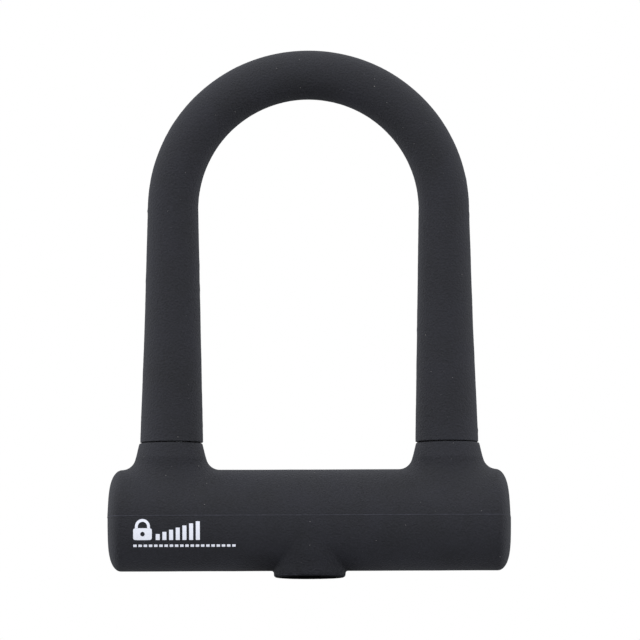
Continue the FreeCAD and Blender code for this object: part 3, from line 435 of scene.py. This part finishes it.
def drum(name, radius, low, high, centre=(0, 0), along="z"):
    # a plain closed cylinder for cutting with
    around = crossbar["cutSides"]
    turn = np.linspace(0, 2 * math.pi, around, endpoint=False)
    ring = np.stack([radius * np.cos(turn) + centre[0], radius * np.sin(turn) + centre[1]], 1)
    rows = [np.column_stack([ring, np.full(around, level)]) for level in (low, high)]
    points = np.concatenate(rows)
    if along == "x":
        points = points[:, [2, 0, 1]]
    sides = [(i, (i + 1) % around, (i + 1) % around + around, i + around) for i in range(around)]
    caps = [tuple(range(around))[::-1], tuple(range(around, 2 * around))]
    return meshObject(name, points * mm, sides + caps, silicone)


def carve(piece, cutters):
    for cutter in cutters:
        cut = piece.modifiers.new(cutter.name, "BOOLEAN")
        cut.operation = "DIFFERENCE"
        cut.solver = "MANIFOLD"
        cut.object = cutter
    carved = plainCopy(piece, piece.name)
    build = bmesh.new()
    build.from_mesh(carved.data)
    bmesh.ops.dissolve_degenerate(build, edges=build.edges, dist=crossbar["sliver"] * mm)
    build.to_mesh(carved.data)
    build.free()
    for cutter in cutters:
        bpy.data.objects.remove(cutter)
    return carved


def makeCrossbarSkin():
    c = crossbar
    reach = np.array([c["halfLength"], c["radius"], c["neckHeight"]]) + c["margin"]
    low = np.array([-reach[0], -reach[1], -axisHeight - c["margin"]])
    # a row of cells meets the parting plane, so that its step comes out straight
    low[2] = c["seamHeight"] - math.ceil((c["seamHeight"] - low[2]) / c["cell"]) * c["cell"]
    counts = [int((high - start) / c["cell"]) + 2 for start, high in zip(low, reach)]
    axes = [start + c["cell"] * np.arange(n) for start, n in zip(low, counts)]
    grid = np.stack(np.meshgrid(*axes, indexing="ij"), -1)
    points, quads = surfaceNet(skinDistance(grid), low, c["cell"])
    points, outward = ontoSkin(points)
    points = points - outward * np.abs(swell(points, c["wave"]))[:, None]
    points[:, 2] += axisHeight
    solid = meshObject("crossbar_skin", points * mm, quads, silicone)
    socketRadius = (socketHigh[1] - socketLow[1]) / 2
    legOffset = (socketHigh[0] + socketLow[0]) / 2
    tubeRadius, tubeEnd = tubeHigh[1], tubeHigh[0]
    cutters = [
        drum("tube_void", tubeRadius, -tubeEnd, tubeEnd, (0, axisHeight), "x"),
        drum("left_bore", socketRadius, axisHeight, skinHigh[2] + 2, (-legOffset, 0)),
        drum("right_bore", socketRadius, axisHeight, skinHigh[2] + 2, (legOffset, 0)),
        drum("bezel_void", bezelHigh[1], bezelLow[2], axisHeight),
        drum("keyway_mouth", c["mouthRadius"], -2, bezelLow[2] + 1),
    ]
    skin = carve(solid, cutters)
    smoothOver(skin, c["crispAngle"])
    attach(skin, "crossbar")
    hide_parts("crossbar_jacket")
    print("crossbar skin:", len(skin.data.polygons), "faces")
    return skin


crossbarSkin = makeCrossbarSkin()


bareParts = {                       # the hard parts that show when the lock is open, or from below
    "nodes": [
        "shackle_bar", "left_leg_socket", "right_leg_socket", "left_leg_bush", "right_leg_bush",
        "left_leg_pad", "right_leg_pad", "left_bolt", "right_bolt", "keyway_bezel", "dust_cover",
        "cover_washer", "front_plate", "core_drum",
    ],
    "weld": 0.001 * mm,
    "sliver": 0.0005 * mm,
    "crispAngle": 30,
}


def makeBareParts():
    # the frame's meshes are loose triangles, so each copy is joined up before it is smoothed
    rows = {row["node"]: row for row in frame["record"]["subparts"]}
    homes = {node: body for body, nodes in frame["record"]["behaviour"]["bodies"].items() for node in nodes}
    for node in bareParts["nodes"]:
        build = bmesh.new()
        build.from_mesh(frame["nodes"][node].data)
        bmesh.ops.remove_doubles(build, verts=build.verts, dist=bareParts["weld"])
        bmesh.ops.dissolve_degenerate(build, edges=build.edges, dist=bareParts["sliver"])
        bmesh.ops.recalc_face_normals(build, faces=build.faces)
        mesh = bpy.data.meshes.new(f"{node}_finished")
        build.to_mesh(mesh)
        build.free()
        slot = rows[node]["material_slot"]
        mesh.materials.append(finishes[slot])
        made = newObject(f"{node}_finished", mesh)
        smoothOver(made, bareParts["crispAngle"])
        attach(made, homes[node])
        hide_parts(node)
    print("bare parts:", len(bareParts["nodes"]))


makeBareParts()


sleeveLow, sleeveHigh = boxInMm("shackle_jacket")
barHigh = boxInMm("shackle_bar")[1]
sleeve = {                          # all in mm
    "foot": sleeveLow[2],
    "bend": sleeveHigh[2] - 59.9,   # where the legs turn into the crown
    "crownOffset": 50.65,
    "crownRadius": 9.25,
    "footOffset": 51.65,
    "footRadius": 11.82,
    "barRadius": barHigh[1],
    "barOffset": barHigh[0] - barHigh[1],
    "shoulder": 0.26,               # how much fuller the crown's outer side is where it turns down
    "shoulderSoftness": 0.1,        # keeps that from ending in a ridge at the top
    "lip": 0.28,
    "lipSteps": 5,
    "wave": 0.025,
    "around": 128,
    "step": 1.1,                    # from ring to ring outside
    "channelRings": 90,             # inside, where the bar lies
    "crispAngle": 50,
}


def sleeveLine(count):
    # stations from the left foot over the crown to the right foot: offset, radius, height, turn
    s = sleeve
    leg, arc = s["bend"] - s["foot"], math.pi * s["crownOffset"]
    travel = np.linspace(0, 2 * leg + arc, count)
    turn = np.clip((travel - leg) / s["crownOffset"], 0, math.pi)
    down = np.maximum(leg - travel, 0) + np.maximum(travel - leg - arc, 0)
    share = down / leg
    soft = s["shoulderSoftness"]
    fuller = s["shoulder"] * (np.sqrt(np.cos(turn) ** 2 + soft ** 2) - soft) * np.maximum(0, 1 - 2 * share)
    offset = s["crownOffset"] + (s["footOffset"] - s["crownOffset"]) * share + fuller
    radius = s["crownRadius"] + (s["footRadius"] - s["crownRadius"]) * share + fuller
    return offset, radius, s["bend"] - down, turn


def sleeveRing(offset, radius, height, turn, around):
    # one ring of points round the shackle's line; angle 0 is the outer side
    out = np.array([-math.cos(turn), 0, math.sin(turn)])
    centre = out * offset + np.array([0, 0, height])
    angle = np.linspace(0, 2 * math.pi, around, endpoint=False)
    side = np.array([0, 1, 0])
    return centre + radius * (np.cos(angle)[:, None] * out + np.sin(angle)[:, None] * side)


def footRings(turn, around):
    # from the outer skin round the foot's two lips to the bar's channel
    s, steps = sleeve, sleeve["lipSteps"]
    lips = (
        (s["footOffset"], s["footRadius"], -1, range(1, steps + 1)),
        (s["barOffset"], s["barRadius"], 1, range(steps - 1, 0, -1)),
    )
    rings = []
    for centre, radius, sign, stages in lips:
        for stage in stages:
            bend = math.pi / 2 * stage / steps
            shrink, rise = s["lip"] * (1 - math.cos(bend)), s["lip"] * (1 - math.sin(bend))
            rings.append(sleeveRing(centre, radius + sign * shrink, s["foot"] + rise, turn, around))
    return rings


def makeSleeve():
    # one closed skin: rings up over the crown outside, and back through the bar's channel inside
    s = sleeve
    length = 2 * (s["bend"] - s["foot"]) + math.pi * s["crownOffset"]
    rings = []
    for offset, radius, height, turn in zip(*sleeveLine(int(length / s["step"]))):
        ring = sleeveRing(offset, radius, max(height, s["foot"] + s["lip"]), turn, s["around"])
        centre = ring.mean(0)
        out = (ring - centre) / radius
        rings.append(ring - out * np.abs(swell(ring, s["wave"]))[:, None])
    rings += footRings(math.pi, s["around"])
    _, _, heights, turns = sleeveLine(s["channelRings"])
    for height, turn in zip(heights[::-1], turns[::-1]):
        lifted = max(height, s["foot"] + s["lip"])
        rings.append(sleeveRing(s["barOffset"], s["barRadius"], lifted, turn, s["around"]))
    rings += footRings(0, s["around"])[::-1]
    count, around = len(rings), s["around"]
    faces = []
    for i in range(count):
        this, after = i * around, (i + 1) % count * around
        for j in range(around):
            k = (j + 1) % around
            faces.append((this + j, this + k, after + k, after + j))
    made = meshObject("shackle_sleeve", np.concatenate(rings) * mm, faces, silicone, s["crispAngle"])
    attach(made, "shackle")
    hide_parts("shackle_jacket")
    print("shackle sleeve:", len(faces), "faces")
    return made


shackleSleeve = makeSleeve()


flash = {
    "ridge": 0.09 * mm,             # half the ridge's width
    "crumb": 1.4 * mm,              # length of its uneven stretches
    "evenness": 0.55,
    "step": 0.35 * mm,
    "sink": 0.03 * mm,              # how deep the ridge's middle lies under the surface
    "seamRidge": 0.3 * mm,          # the crossbar's own seam: broader, flatter and longer in its changes
    "seamSink": 0.24 * mm,
    "seamCrumb": 6 * mm,
    "seamEvenness": 0.9,
    # the rim's flash ring is partly trimmed wear and partly a painted highlight on the rim
    "rimRidge": 0.2 * mm,           # round the boss, where its rim has been trimmed
    "rimSink": 0.12 * mm,
    "seamRise": 0.1,                # in mm, which keeps the line on the tool's upper half
    "seamPoints": 900,
    "rimPoints": 240,
    "sleevePoints": 700,
    "footGap": 0.8,                 # in mm; the sleeve's line stops short of its foot
    "crownBand": 2.0,               # and is thinner over the top of the crown
    "crownThickness": 0.4,
    "crispAngle": 60,
    # where trimming left a nick: side of the shackle, face, height in mm, how proud, half its length in mm
    "nicks": [
        (-1, "outer", 138.1, 3.2, 0.7), (-1, "outer", 111.8, 2.4, 0.6), (-1, "inner", 117.5, 2.2, 1.6),
        (-1, "inner", 109.0, 2.6, 1.0), (-1, "inner", 57.1, 2.2, 0.6), (1, "inner", 92.9, 2.4, 0.8),
        (1, "outer", 149.4, 2.0, 1.2), (1, "outer", 136.2, 3.0, 0.7), (1, "outer", 55.2, 2.6, 0.8),
    ],
}


def flashTree():
    tree, inputs = newTree("parting_flash", {
        "Ridge": "Float", "Crumb": "Float", "Evenness": "Float", "Step": "Float", "Material": "Material",
    })
    fine = addNode(
        tree, "GeometryNodeResampleCurve", {"Curve": inputs["Geometry"], "Length": inputs["Step"]},
        mode="LENGTH",
    )
    scale = addNode(tree, "ShaderNodeMath", {0: 1.0, 1: inputs["Crumb"]}, operation="DIVIDE")
    spot = addNode(tree, "GeometryNodeInputPosition")
    noise = addNode(
        tree, "ShaderNodeTexNoise", {"Vector": spot.outputs[0], "Scale": scale.outputs[0], "Detail": 3.0}
    )
    uneven = addNode(
        tree, "ShaderNodeMapRange",
        {"Value": noise.outputs["Fac"], "From Min": 0.35, "From Max": 0.65, "To Min": inputs["Evenness"],
         "To Max": 1.0},
    )
    taper = addNode(tree, "GeometryNodeInputRadius")
    grown = addNode(
        tree, "ShaderNodeMath", {0: uneven.outputs[0], 1: taper.outputs[0]}, operation="MULTIPLY"
    )
    size = addNode(
        tree, "ShaderNodeMath", {0: grown.outputs[0], 1: inputs["Ridge"]}, operation="MULTIPLY"
    )
    section = addNode(tree, "GeometryNodeCurvePrimitiveCircle", {"Resolution": 6, "Radius": 1.0})
    ridge = addNode(
        tree, "GeometryNodeCurveToMesh",
        {"Curve": fine.outputs[0], "Profile Curve": section.outputs[0], "Scale": size.outputs[0],
         "Fill Caps": True},
    )
    closeTree(tree, ridge.outputs[0], inputs["Material"])
    return tree


def polyCurve(name, lines, closed=False):
    # straight-run splines through rows of x, y, z, thickness
    curve = bpy.data.curves.new(name, "CURVE")
    curve.dimensions = "3D"
    for rows in lines:
        spline = curve.splines.new("POLY")
        spline.points.add(len(rows) - 1)
        for point, (x, y, z, thickness) in zip(spline.points, rows):
            point.co = (x * mm, y * mm, z * mm, 1)
            point.radius = thickness
        spline.use_cyclic_u = closed
    return newObject(name, curve)


def flashValues(**other):
    # every flash line is drawn in the paler rubbed silicone, partly trimmed wear and partly a painted
    # highlight
    values = {"Ridge": flash["ridge"], "Crumb": flash["crumb"], "Evenness": flash["evenness"],
              "Step": flash["step"], "Material": rubbedAndHighlit}
    values.update(other)
    return values


def swellAtSleeve(offset, radius, height, turn, sign):
    # the sleeve's unevenness where the flash line runs
    out = np.array([-math.cos(turn), 0, math.sin(turn)])
    point = out * (offset + sign * radius) + np.array([0, 0, height])
    return swell(point[None], sleeve["wave"])[0]


def makeSleeveFlash(tree):
    lines = []
    for face, sign in (("outer", 1), ("inner", -1)):
        rows = []
        for offset, radius, height, turn in zip(*sleeveLine(flash["sleevePoints"])):
            deep = flash["sink"] / mm + abs(swellAtSleeve(offset, radius, height, turn, sign))
            reach = offset + sign * (radius - deep)
            x, z = -math.cos(turn) * reach, height + math.sin(turn) * reach
            thick = 1.0
            for side, where, level, proud, half in flash["nicks"]:
                if where == face and side * x > 0:
                    thick += (proud - 1) * math.exp(-((z - level) / half) ** 2)
            if z >= sleeveHigh[2] - flash["crownBand"]:
                thick = flash["crownThickness"]
            if z > sleeve["foot"] + flash["footGap"]:
                rows.append((x, 0, z, thick))
        lines.append(rows)
    made = grow(polyCurve("sleeve_flash_line", lines), tree, flashValues(), "sleeve_flash")
    smoothOver(made, flash["crispAngle"])
    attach(made, "shackle")


def makeSeamFlash(tree):
    # a rounded loop round the bar, evenly spaced and then drawn on to its skin; its paler silicone is partly
    # trimmed wear and partly a painted highlight along the seam
    c = crossbar
    level, corner = c["seamHeight"] + flash["seamRise"], c["endDepth"]
    straight, deep = c["halfLength"] - corner, c["radius"] - corner
    rows = []
    for x, y, start in ((1, -1, -90), (1, 1, 0), (-1, 1, 90), (-1, -1, 180)):
        for angle in np.radians(np.linspace(start, start + 90, 9)):
            rows.append((x * straight + corner * math.cos(angle), y * deep + corner * math.sin(angle)))
    loop = np.array(rows + rows[:1])
    gaps = np.hypot(*np.diff(loop, axis=0).T)
    travel = np.concatenate([[0], np.cumsum(gaps)])
    even = np.linspace(0, travel[-1], flash["seamPoints"], endpoint=False)
    spots = np.column_stack([np.interp(even, travel, loop[:, 0]), np.interp(even, travel, loop[:, 1])])
    points = np.column_stack([spots, np.full(len(spots), level)])
    points, outward = ontoSkin(points)
    points = points - outward * (flash["seamSink"] / mm + np.abs(swell(points, c["wave"]))[:, None])
    points[:, 2] = level + axisHeight
    line = [(*point, 1.0) for point in points]
    base = polyCurve("seam_flash_line", [line], closed=True)
    values = flashValues(
        Ridge=flash["seamRidge"], Crumb=flash["seamCrumb"], Evenness=flash["seamEvenness"]
    )
    made = grow(base, tree, values, "seam_flash")
    smoothOver(made, flash["crispAngle"])
    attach(made, "crossbar")


def makeRimFlash(tree):
    # a circle on the boss's rounded rim; its paler silicone is partly trimmed wear and partly a painted
    # highlight where the rim catches the light
    c = crossbar
    turn = np.linspace(0, 2 * math.pi, flash["rimPoints"], endpoint=False)
    ring = [c["bossRadius"] * np.cos(turn), c["bossRadius"] * np.sin(turn)]
    points = np.column_stack([*ring, np.full(len(turn), c["bossRim"] / 2 - axisHeight)])
    points, outward = ontoSkin(points)
    points = points - outward * (flash["rimSink"] / mm + np.abs(swell(points, c["wave"]))[:, None])
    points[:, 2] += axisHeight
    base = polyCurve("rim_flash_line", [[(*point, 1.0) for point in points]], closed=True)
    made = grow(base, tree, flashValues(Ridge=flash["rimRidge"]), "rim_flash")
    smoothOver(made, flash["crispAngle"])
    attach(made, "crossbar")


partingFlash = flashTree()
makeSleeveFlash(partingFlash)
makeSeamFlash(partingFlash)
makeRimFlash(partingFlash)
print("flash")


# a padlock and a rating scale, in mm from the crossbar's middle and from its axis
printed = {
    "left": -66.0,
    "top": -0.3,
    "bottom": -8.1,
    "lockWidth": 7.0,
    "lockBody": 0.56,               # shares of the padlock's height,
    "keyholeHeight": 0.28,
    "keyholeRadius": 0.12,          # and of its width
    "bodySquareness": 8,
    "bodyRings": 5,
    "bodyPoints": 48,
    "stroke": 1.05,
    "bowInset": 0.7,
    "bowOverlap": 0.2,              # how far the bow runs down into the body
    "bowStart": 0.15,               # in radians, where its round part begins
    "barGap": 2.2,                  # from the padlock to the first bar
    "bars": 7,
    "barWidth": 1.5,
    "barPitch": 2.5,
    "barLow": 2.2,
    "barRise": 0.78,
    "ticks": 20,
    "tickPitch": 1.95,
    "tickWidth": 1.3,
    "tickHeight": 0.85,
    "tickDrop": -10.6,
    "film": 0.03,                   # how far the middle of the ink lies above the skin
    "inkThickness": 0.08,
    "crispAngle": 40,
}


def rowTree():
    # upright bars side by side, each taller than the last by Rise, standing on one line
    tree, inputs = newTree("printed_row", {
        "Count": "Int", "Pitch": "Float", "Width": "Float", "Height": "Float", "Rise": "Float",
        "Material": "Material",
    })
    step = addNode(tree, "ShaderNodeCombineXYZ", {"X": inputs["Pitch"]})
    line = addNode(tree, "GeometryNodeMeshLine", {"Count": inputs["Count"], "Offset": step.outputs[0]})
    bar = addNode(
        tree, "GeometryNodeMeshGrid",
        {"Size X": inputs["Width"], "Size Y": 1.0, "Vertices X": 3, "Vertices Y": 9},
    )
    lifted = addNode(tree, "GeometryNodeTransform", {"Geometry": bar.outputs[0], "Translation": (0, 0.5, 0)})
    rank = addNode(tree, "GeometryNodeInputIndex")
    grown = addNode(
        tree, "ShaderNodeMath", {0: rank.outputs[0], 1: inputs["Rise"], 2: inputs["Height"]},
        operation="MULTIPLY_ADD",
    )
    size = addNode(tree, "ShaderNodeCombineXYZ", {"X": 1.0, "Y": grown.outputs[0], "Z": 1.0})
    bars = addNode(
        tree, "GeometryNodeInstanceOnPoints",
        {"Points": line.outputs[0], "Instance": lifted.outputs[0], "Scale": size.outputs[0]},
    )
    closeTree(tree, bars.outputs[0], inputs["Material"])
    return tree


def ribbon(points, half):
    # a flat band of even width along a line of x, z points
    line = np.array(points, float)
    run = np.gradient(line, axis=0)
    run /= np.hypot(*run.T)[:, None]
    side = np.column_stack([-run[:, 1], run[:, 0]]) * half
    verts = np.concatenate([line + side, line - side])
    n = len(line)
    return verts, [(i, i + n, i + n + 1, i + 1) for i in range(n - 1)]


def padlockMark():
    # a body with a round keyhole, and an arched bow over it
    p = printed
    width, low, high = p["lockWidth"], p["bottom"], p["top"]
    bodyTop, middle = low + (high - low) * p["lockBody"], p["left"] + width / 2
    around, layers, power = p["bodyPoints"], p["bodyRings"], p["bodySquareness"]
    turn = np.linspace(0, 2 * math.pi, around, endpoint=False)
    edge = np.stack([np.cos(turn), np.sin(turn)], 1)
    square = edge / np.sum(np.abs(edge) ** power, 1, keepdims=True) ** (1 / power)
    outer = square * [width / 2, (bodyTop - low) / 2] + [middle, (bodyTop + low) / 2]
    inner = edge * width * p["keyholeRadius"] + [middle, low + (high - low) * p["keyholeHeight"]]
    rings = [inner + (outer - inner) * share for share in np.linspace(0, 1, layers + 1)]
    verts, faces = np.concatenate(rings), []
    for i in range(layers):
        for j in range(around):
            k = (j + 1) % around
            faces.append((i * around + j, (i + 1) * around + j, (i + 1) * around + k, i * around + k))
    half = p["stroke"] / 2
    bow = width / 2 - half - p["bowInset"]
    spring = high - half - bow
    legLevels = [bodyTop - p["bowOverlap"], (bodyTop + spring) / 2, spring]
    arch = [(middle - bow, level) for level in legLevels]
    for angle in np.linspace(p["bowStart"], math.pi - p["bowStart"], 17):
        arch.append((middle - bow * math.cos(angle), spring + bow * math.sin(angle)))
    arch += [(middle + bow, level) for level in legLevels[::-1]]
    more, strips = ribbon(arch, half)
    faces += [tuple(i + len(verts) for i in strip) for strip in strips]
    return np.concatenate([verts, more]), faces


def wrapPrint(piece):
    # lays flat marks (x, height) on the round front, as a film of ink
    flat = np.array([v.co[:] for v in piece.data.vertices]) / mm
    c, height = crossbar, flat[:, 1]
    radius = c["radius"] - c["seamStep"] - 2 * c["wave"] + printed["film"]
    depth = -np.sqrt(radius ** 2 - (height / c["tallness"]) ** 2)
    wrapped = np.column_stack([flat[:, 0], depth, height + axisHeight]) * mm
    piece.data.vertices.foreach_set("co", wrapped.ravel())
    piece.data.update()
    film = piece.modifiers.new("film", "SOLIDIFY")
    film.thickness = printed["inkThickness"] * mm
    film.offset = 0
    name = piece.name
    piece.name = f"{name}_flat"
    made = plainCopy(piece, name)
    build = bmesh.new()
    build.from_mesh(made.data)
    bmesh.ops.recalc_face_normals(build, faces=build.faces)
    build.to_mesh(made.data)
    build.free()
    smoothOver(made, printed["crispAngle"])
    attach(made, "crossbar")


def makePrint():
    p = printed
    rows = rowTree()
    verts, faces = padlockMark()
    flat = np.column_stack([verts, np.zeros(len(verts))]) * mm
    wrapPrint(meshObject("printed_padlock", flat, faces, ink))
    sets = (
        ("printed_bars", p["left"] + p["lockWidth"] + p["barGap"], p["bottom"], p["bars"], p["barPitch"],
         p["barWidth"], p["barLow"], p["barRise"]),
        ("printed_ticks", p["left"] + p["tickWidth"] / 2, p["tickDrop"], p["ticks"], p["tickPitch"],
         p["tickWidth"], p["tickHeight"], 0),
    )
    for name, left, low, count, pitch, width, height, rise in sets:
        base = newObject(f"{name}_base", bpy.data.meshes.new(f"{name}_base"))
        values = {"Count": count, "Pitch": pitch * mm, "Width": width * mm, "Height": height * mm,
                  "Rise": rise * mm, "Material": ink}
        made = grow(base, rows, values, name)
        for vertex in made.data.vertices:
            vertex.co.x += left * mm
            vertex.co.y += low * mm
        wrapPrint(made)
    print("print")


makePrint()


specks = {
    "perArea": 8000,
    "smallest": 0.03 * mm,
    "largest": 0.15 * mm,
    "seed": 11,
    # dust stays inside the frame's box, and off the ends and inner walls
    "barReach": 18.5 * mm,          # how far from the crossbar's axis a face has to be
    "barFront": 18.8 * mm,
    "barEnd": 75 * mm,
    "barLow": axisHeight * mm * 0.2,
    "crownTop": sleeveHigh[2] * mm - 1 * mm,
    "sleeveFace": 0.3 * mm * mm,    # the sleeve's outer faces are larger than this
}


def dustTree():
    tree, inputs = newTree("dust_specks", {
        "Per Area": "Float", "Smallest": "Float", "Largest": "Float", "Seed": "Int",
        "Material": "Material",
    })
    spots = addNode(
        tree, "GeometryNodeDistributePointsOnFaces",
        {"Mesh": inputs["Geometry"], "Density": inputs["Per Area"], "Seed": inputs["Seed"]},
    )
    grain = addNode(tree, "GeometryNodeMeshIcoSphere", {"Radius": 1.0, "Subdivisions": 1})
    size = addNode(
        tree, "FunctionNodeRandomValue",
        {"Min": inputs["Smallest"], "Max": inputs["Largest"], "Seed": inputs["Seed"]},
        data_type="FLOAT",
    )
    flat = addNode(
        tree, "FunctionNodeRandomValue", {"Min": (0.6, 0.4, 0.25), "Max": (1.7, 0.9, 0.35)},
        data_type="FLOAT_VECTOR",
    )
    scale = addNode(
        tree, "ShaderNodeVectorMath", {0: flat.outputs[0], "Scale": size.outputs[1]}, operation="SCALE"
    )
    strewn = addNode(
        tree, "GeometryNodeInstanceOnPoints",
        {"Points": spots.outputs["Points"], "Instance": grain.outputs[0],
         "Rotation": spots.outputs["Rotation"], "Scale": scale.outputs[0]},
    )
    closeTree(tree, strewn.outputs[0], inputs["Material"])
    return tree


def outerFaces(skin, name, keep):
    # a copy of the faces that dust can reach
    build = bmesh.new()
    build.from_mesh(skin.data)
    bmesh.ops.delete(build, geom=[f for f in build.faces if not keep(f)], context="FACES")
    mesh = bpy.data.meshes.new(name)
    build.to_mesh(mesh)
    build.free()
    return newObject(name, mesh)


def barTakesDust(face):
    x, y, z = face.calc_center_median()
    onOutside = math.hypot(y, z - axisHeight * mm) > specks["barReach"] and z > specks["barLow"]
    return onOutside and abs(x) < specks["barEnd"] and abs(y) < specks["barFront"]


def sleeveTakesDust(face):
    return face.calc_center_median().z < specks["crownTop"] and face.calc_area() > specks["sleeveFace"]


def makeDust():
    tree = dustTree()
    hosts = (
        ("crossbar_dust", crossbarSkin, "crossbar", barTakesDust),
        ("sleeve_dust", shackleSleeve, "shackle", sleeveTakesDust),
    )
    for name, skin, body, keep in hosts:
        values = {"Per Area": specks["perArea"], "Smallest": specks["smallest"],
                  "Largest": specks["largest"], "Seed": specks["seed"], "Material": dust}
        made = grow(outerFaces(skin, f"{name}_host", keep), tree, values, name)
        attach(made, body)
        print(name, len(made.data.polygons), "faces")


makeDust()


studio = {
    "floorSize": 20.0,
    "floorCloud": 0.4,              # size of the floor's faint clouds, in metres
    "floorGap": 0.15 * mm,          # keeps the floor from lying in the same plane as the boss
    "shadeNear": 0.008,             # round the boss the floor keeps light off the lock as far as this,
    "shadeFar": 0.028,              # and from here on not at all
    # how bright the room is on the low and high side of each axis; the camera stands at low y
    "walls": {"x": (1.42, 1.22), "y": (0.93, 0.0), "z": (0.27, 1.5)},
    "keyEnergy": 1.5,
    "keySize": 0.9,
    "keySpot": (-0.25, -0.55, 1.15),
    "keyAim": (0, 0, 0.1),
}


def makeFloor():
    made, tree, shader, place = startMaterial("pale_floor", "#f2f2f2", 0.8)
    cloud = addNode(
        tree, "ShaderNodeTexNoise", {"Vector": place, "Scale": 1 / studio["floorCloud"], "Detail": 2.0}
    )
    tone = addNode(
        tree, "ShaderNodeMix", {0: cloud.outputs[0], 6: linear("#eeeeee"), 7: linear("#f6f6f6")},
        data_type="RGBA",
    )
    tree.links.new(tone.outputs[2], shader["Base Color"])
    # the floor shows from above only, so that it never hides the lock from a low camera; to the light it
    # is a dark patch under the boss, with nothing past it
    side = addNode(tree, "ShaderNodeNewGeometry").outputs["Backfacing"]
    ray = addNode(tree, "ShaderNodeLightPath").outputs["Is Camera Ray"]
    seen = addNode(tree, "ShaderNodeMath", {0: ray, 1: side}, operation="SUBTRACT", use_clamp=True)
    away = addNode(tree, "ShaderNodeVectorMath", {0: place}, operation="LENGTH")
    spread = addNode(
        tree, "ShaderNodeMapRange",
        {"Value": away.outputs["Value"], "From Min": studio["shadeNear"], "From Max": studio["shadeFar"]},
    )
    unshaded = addNode(tree, "ShaderNodeMath", {0: spread.outputs[0], 1: ray}, operation="MAXIMUM")
    dark = addNode(tree, "ShaderNodeBsdfDiffuse", {"Color": linear("#707074")})
    clear = addNode(tree, "ShaderNodeBsdfTransparent")
    patch = addNode(
        tree, "ShaderNodeMixShader", {0: unshaded.outputs[0], 1: dark.outputs[0], 2: clear.outputs[0]}
    )
    both = addNode(
        tree, "ShaderNodeMixShader",
        {0: seen.outputs[0], 1: patch.outputs[0], 2: tree.nodes["Principled BSDF"].outputs[0]},
    )
    tree.links.new(both.outputs[0], tree.nodes["Material Output"].inputs["Surface"])
    half = studio["floorSize"] / 2
    low = -studio["floorGap"]
    corners = [(-half, -half, low), (half, -half, low), (half, half, low), (-half, half, low)]
    floor = meshObject("floor", corners, [(0, 1, 2, 3)], made)


def makeWorld():
    # a soft room of six walls, each counted by how squarely a surface faces it
    world = bpy.data.worlds.new("studio_world")
    bpy.context.scene.world = world
    world.use_nodes = True
    tree = world.node_tree
    tree.nodes.clear()
    ray = addNode(tree, "ShaderNodeLightPath").outputs["Is Camera Ray"]
    way = addNode(tree, "ShaderNodeTexCoord").outputs["Generated"]
    parts = addNode(tree, "ShaderNodeSeparateXYZ", {"Vector": way}).outputs
    glow = 0.0
    for axis, (low, high) in studio["walls"].items():
        along = parts[axis.upper()]
        far = addNode(tree, "ShaderNodeMath", {0: along, 1: 0.0}, operation="GREATER_THAN")
        wall = addNode(tree, "ShaderNodeMapRange", {"Value": far.outputs[0], "To Min": low, "To Max": high})
        share = addNode(tree, "ShaderNodeMath", {0: along, 1: along}, operation="MULTIPLY")
        inputs = {0: share.outputs[0], 1: wall.outputs[0], 2: glow}
        glow = addNode(tree, "ShaderNodeMath", inputs, operation="MULTIPLY_ADD").outputs[0]
    soft = addNode(tree, "ShaderNodeBackground", {"Color": linear("#f4f7ff"), "Strength": glow})
    white = addNode(tree, "ShaderNodeBackground", {"Color": (1, 1, 1, 1), "Strength": 1.0})
    both = addNode(tree, "ShaderNodeMixShader", {0: ray, 1: soft.outputs[0], 2: white.outputs[0]})
    addNode(tree, "ShaderNodeOutputWorld", {"Surface": both.outputs[0]})


def makeKeyLight():
    light = bpy.data.lights.new("key_light", "AREA")
    light.shape = "DISK"
    light.size = studio["keySize"]
    light.energy = studio["keyEnergy"]
    made = newObject("key_light", light)
    made.location = studio["keySpot"]
    x, y, z = np.array(studio["keyAim"]) - np.array(studio["keySpot"])
    made.rotation_euler = (math.atan2(math.hypot(x, y), -z), 0, math.atan2(x, -y) + math.pi)


view = {                            # a long lens from far off and a little below, as for a catalogue
    "distance": 6.0,
    "width": 0.2404,
    "tilt": 3.85,
    "roll": -0.2,
    "sensor": 36,
    "aim": (0.0042, 0, 0.09685),
}


def makeCamera():
    camera = bpy.data.cameras.new("camera")
    camera.sensor_width = view["sensor"]
    camera.lens = view["sensor"] * view["distance"] / view["width"]
    camera.clip_end = view["distance"] * 3
    made = newObject("camera", camera)
    tilt = math.radians(view["tilt"])
    x, y, z = view["aim"]
    made.location = (x, y - view["distance"] * math.cos(tilt), z - view["distance"] * math.sin(tilt))
    turn = Matrix.Rotation(math.pi / 2 + tilt, 3, "X") @ Matrix.Rotation(math.radians(view["roll"]), 3, "Z")
    made.rotation_euler = turn.to_euler()
    bpy.context.scene.camera = made


makeFloor()
makeWorld()
makeKeyLight()
makeCamera()
bpy.context.scene.view_settings.view_transform = "Standard"
bpy.context.scene.view_settings.look = "None"

print("done")
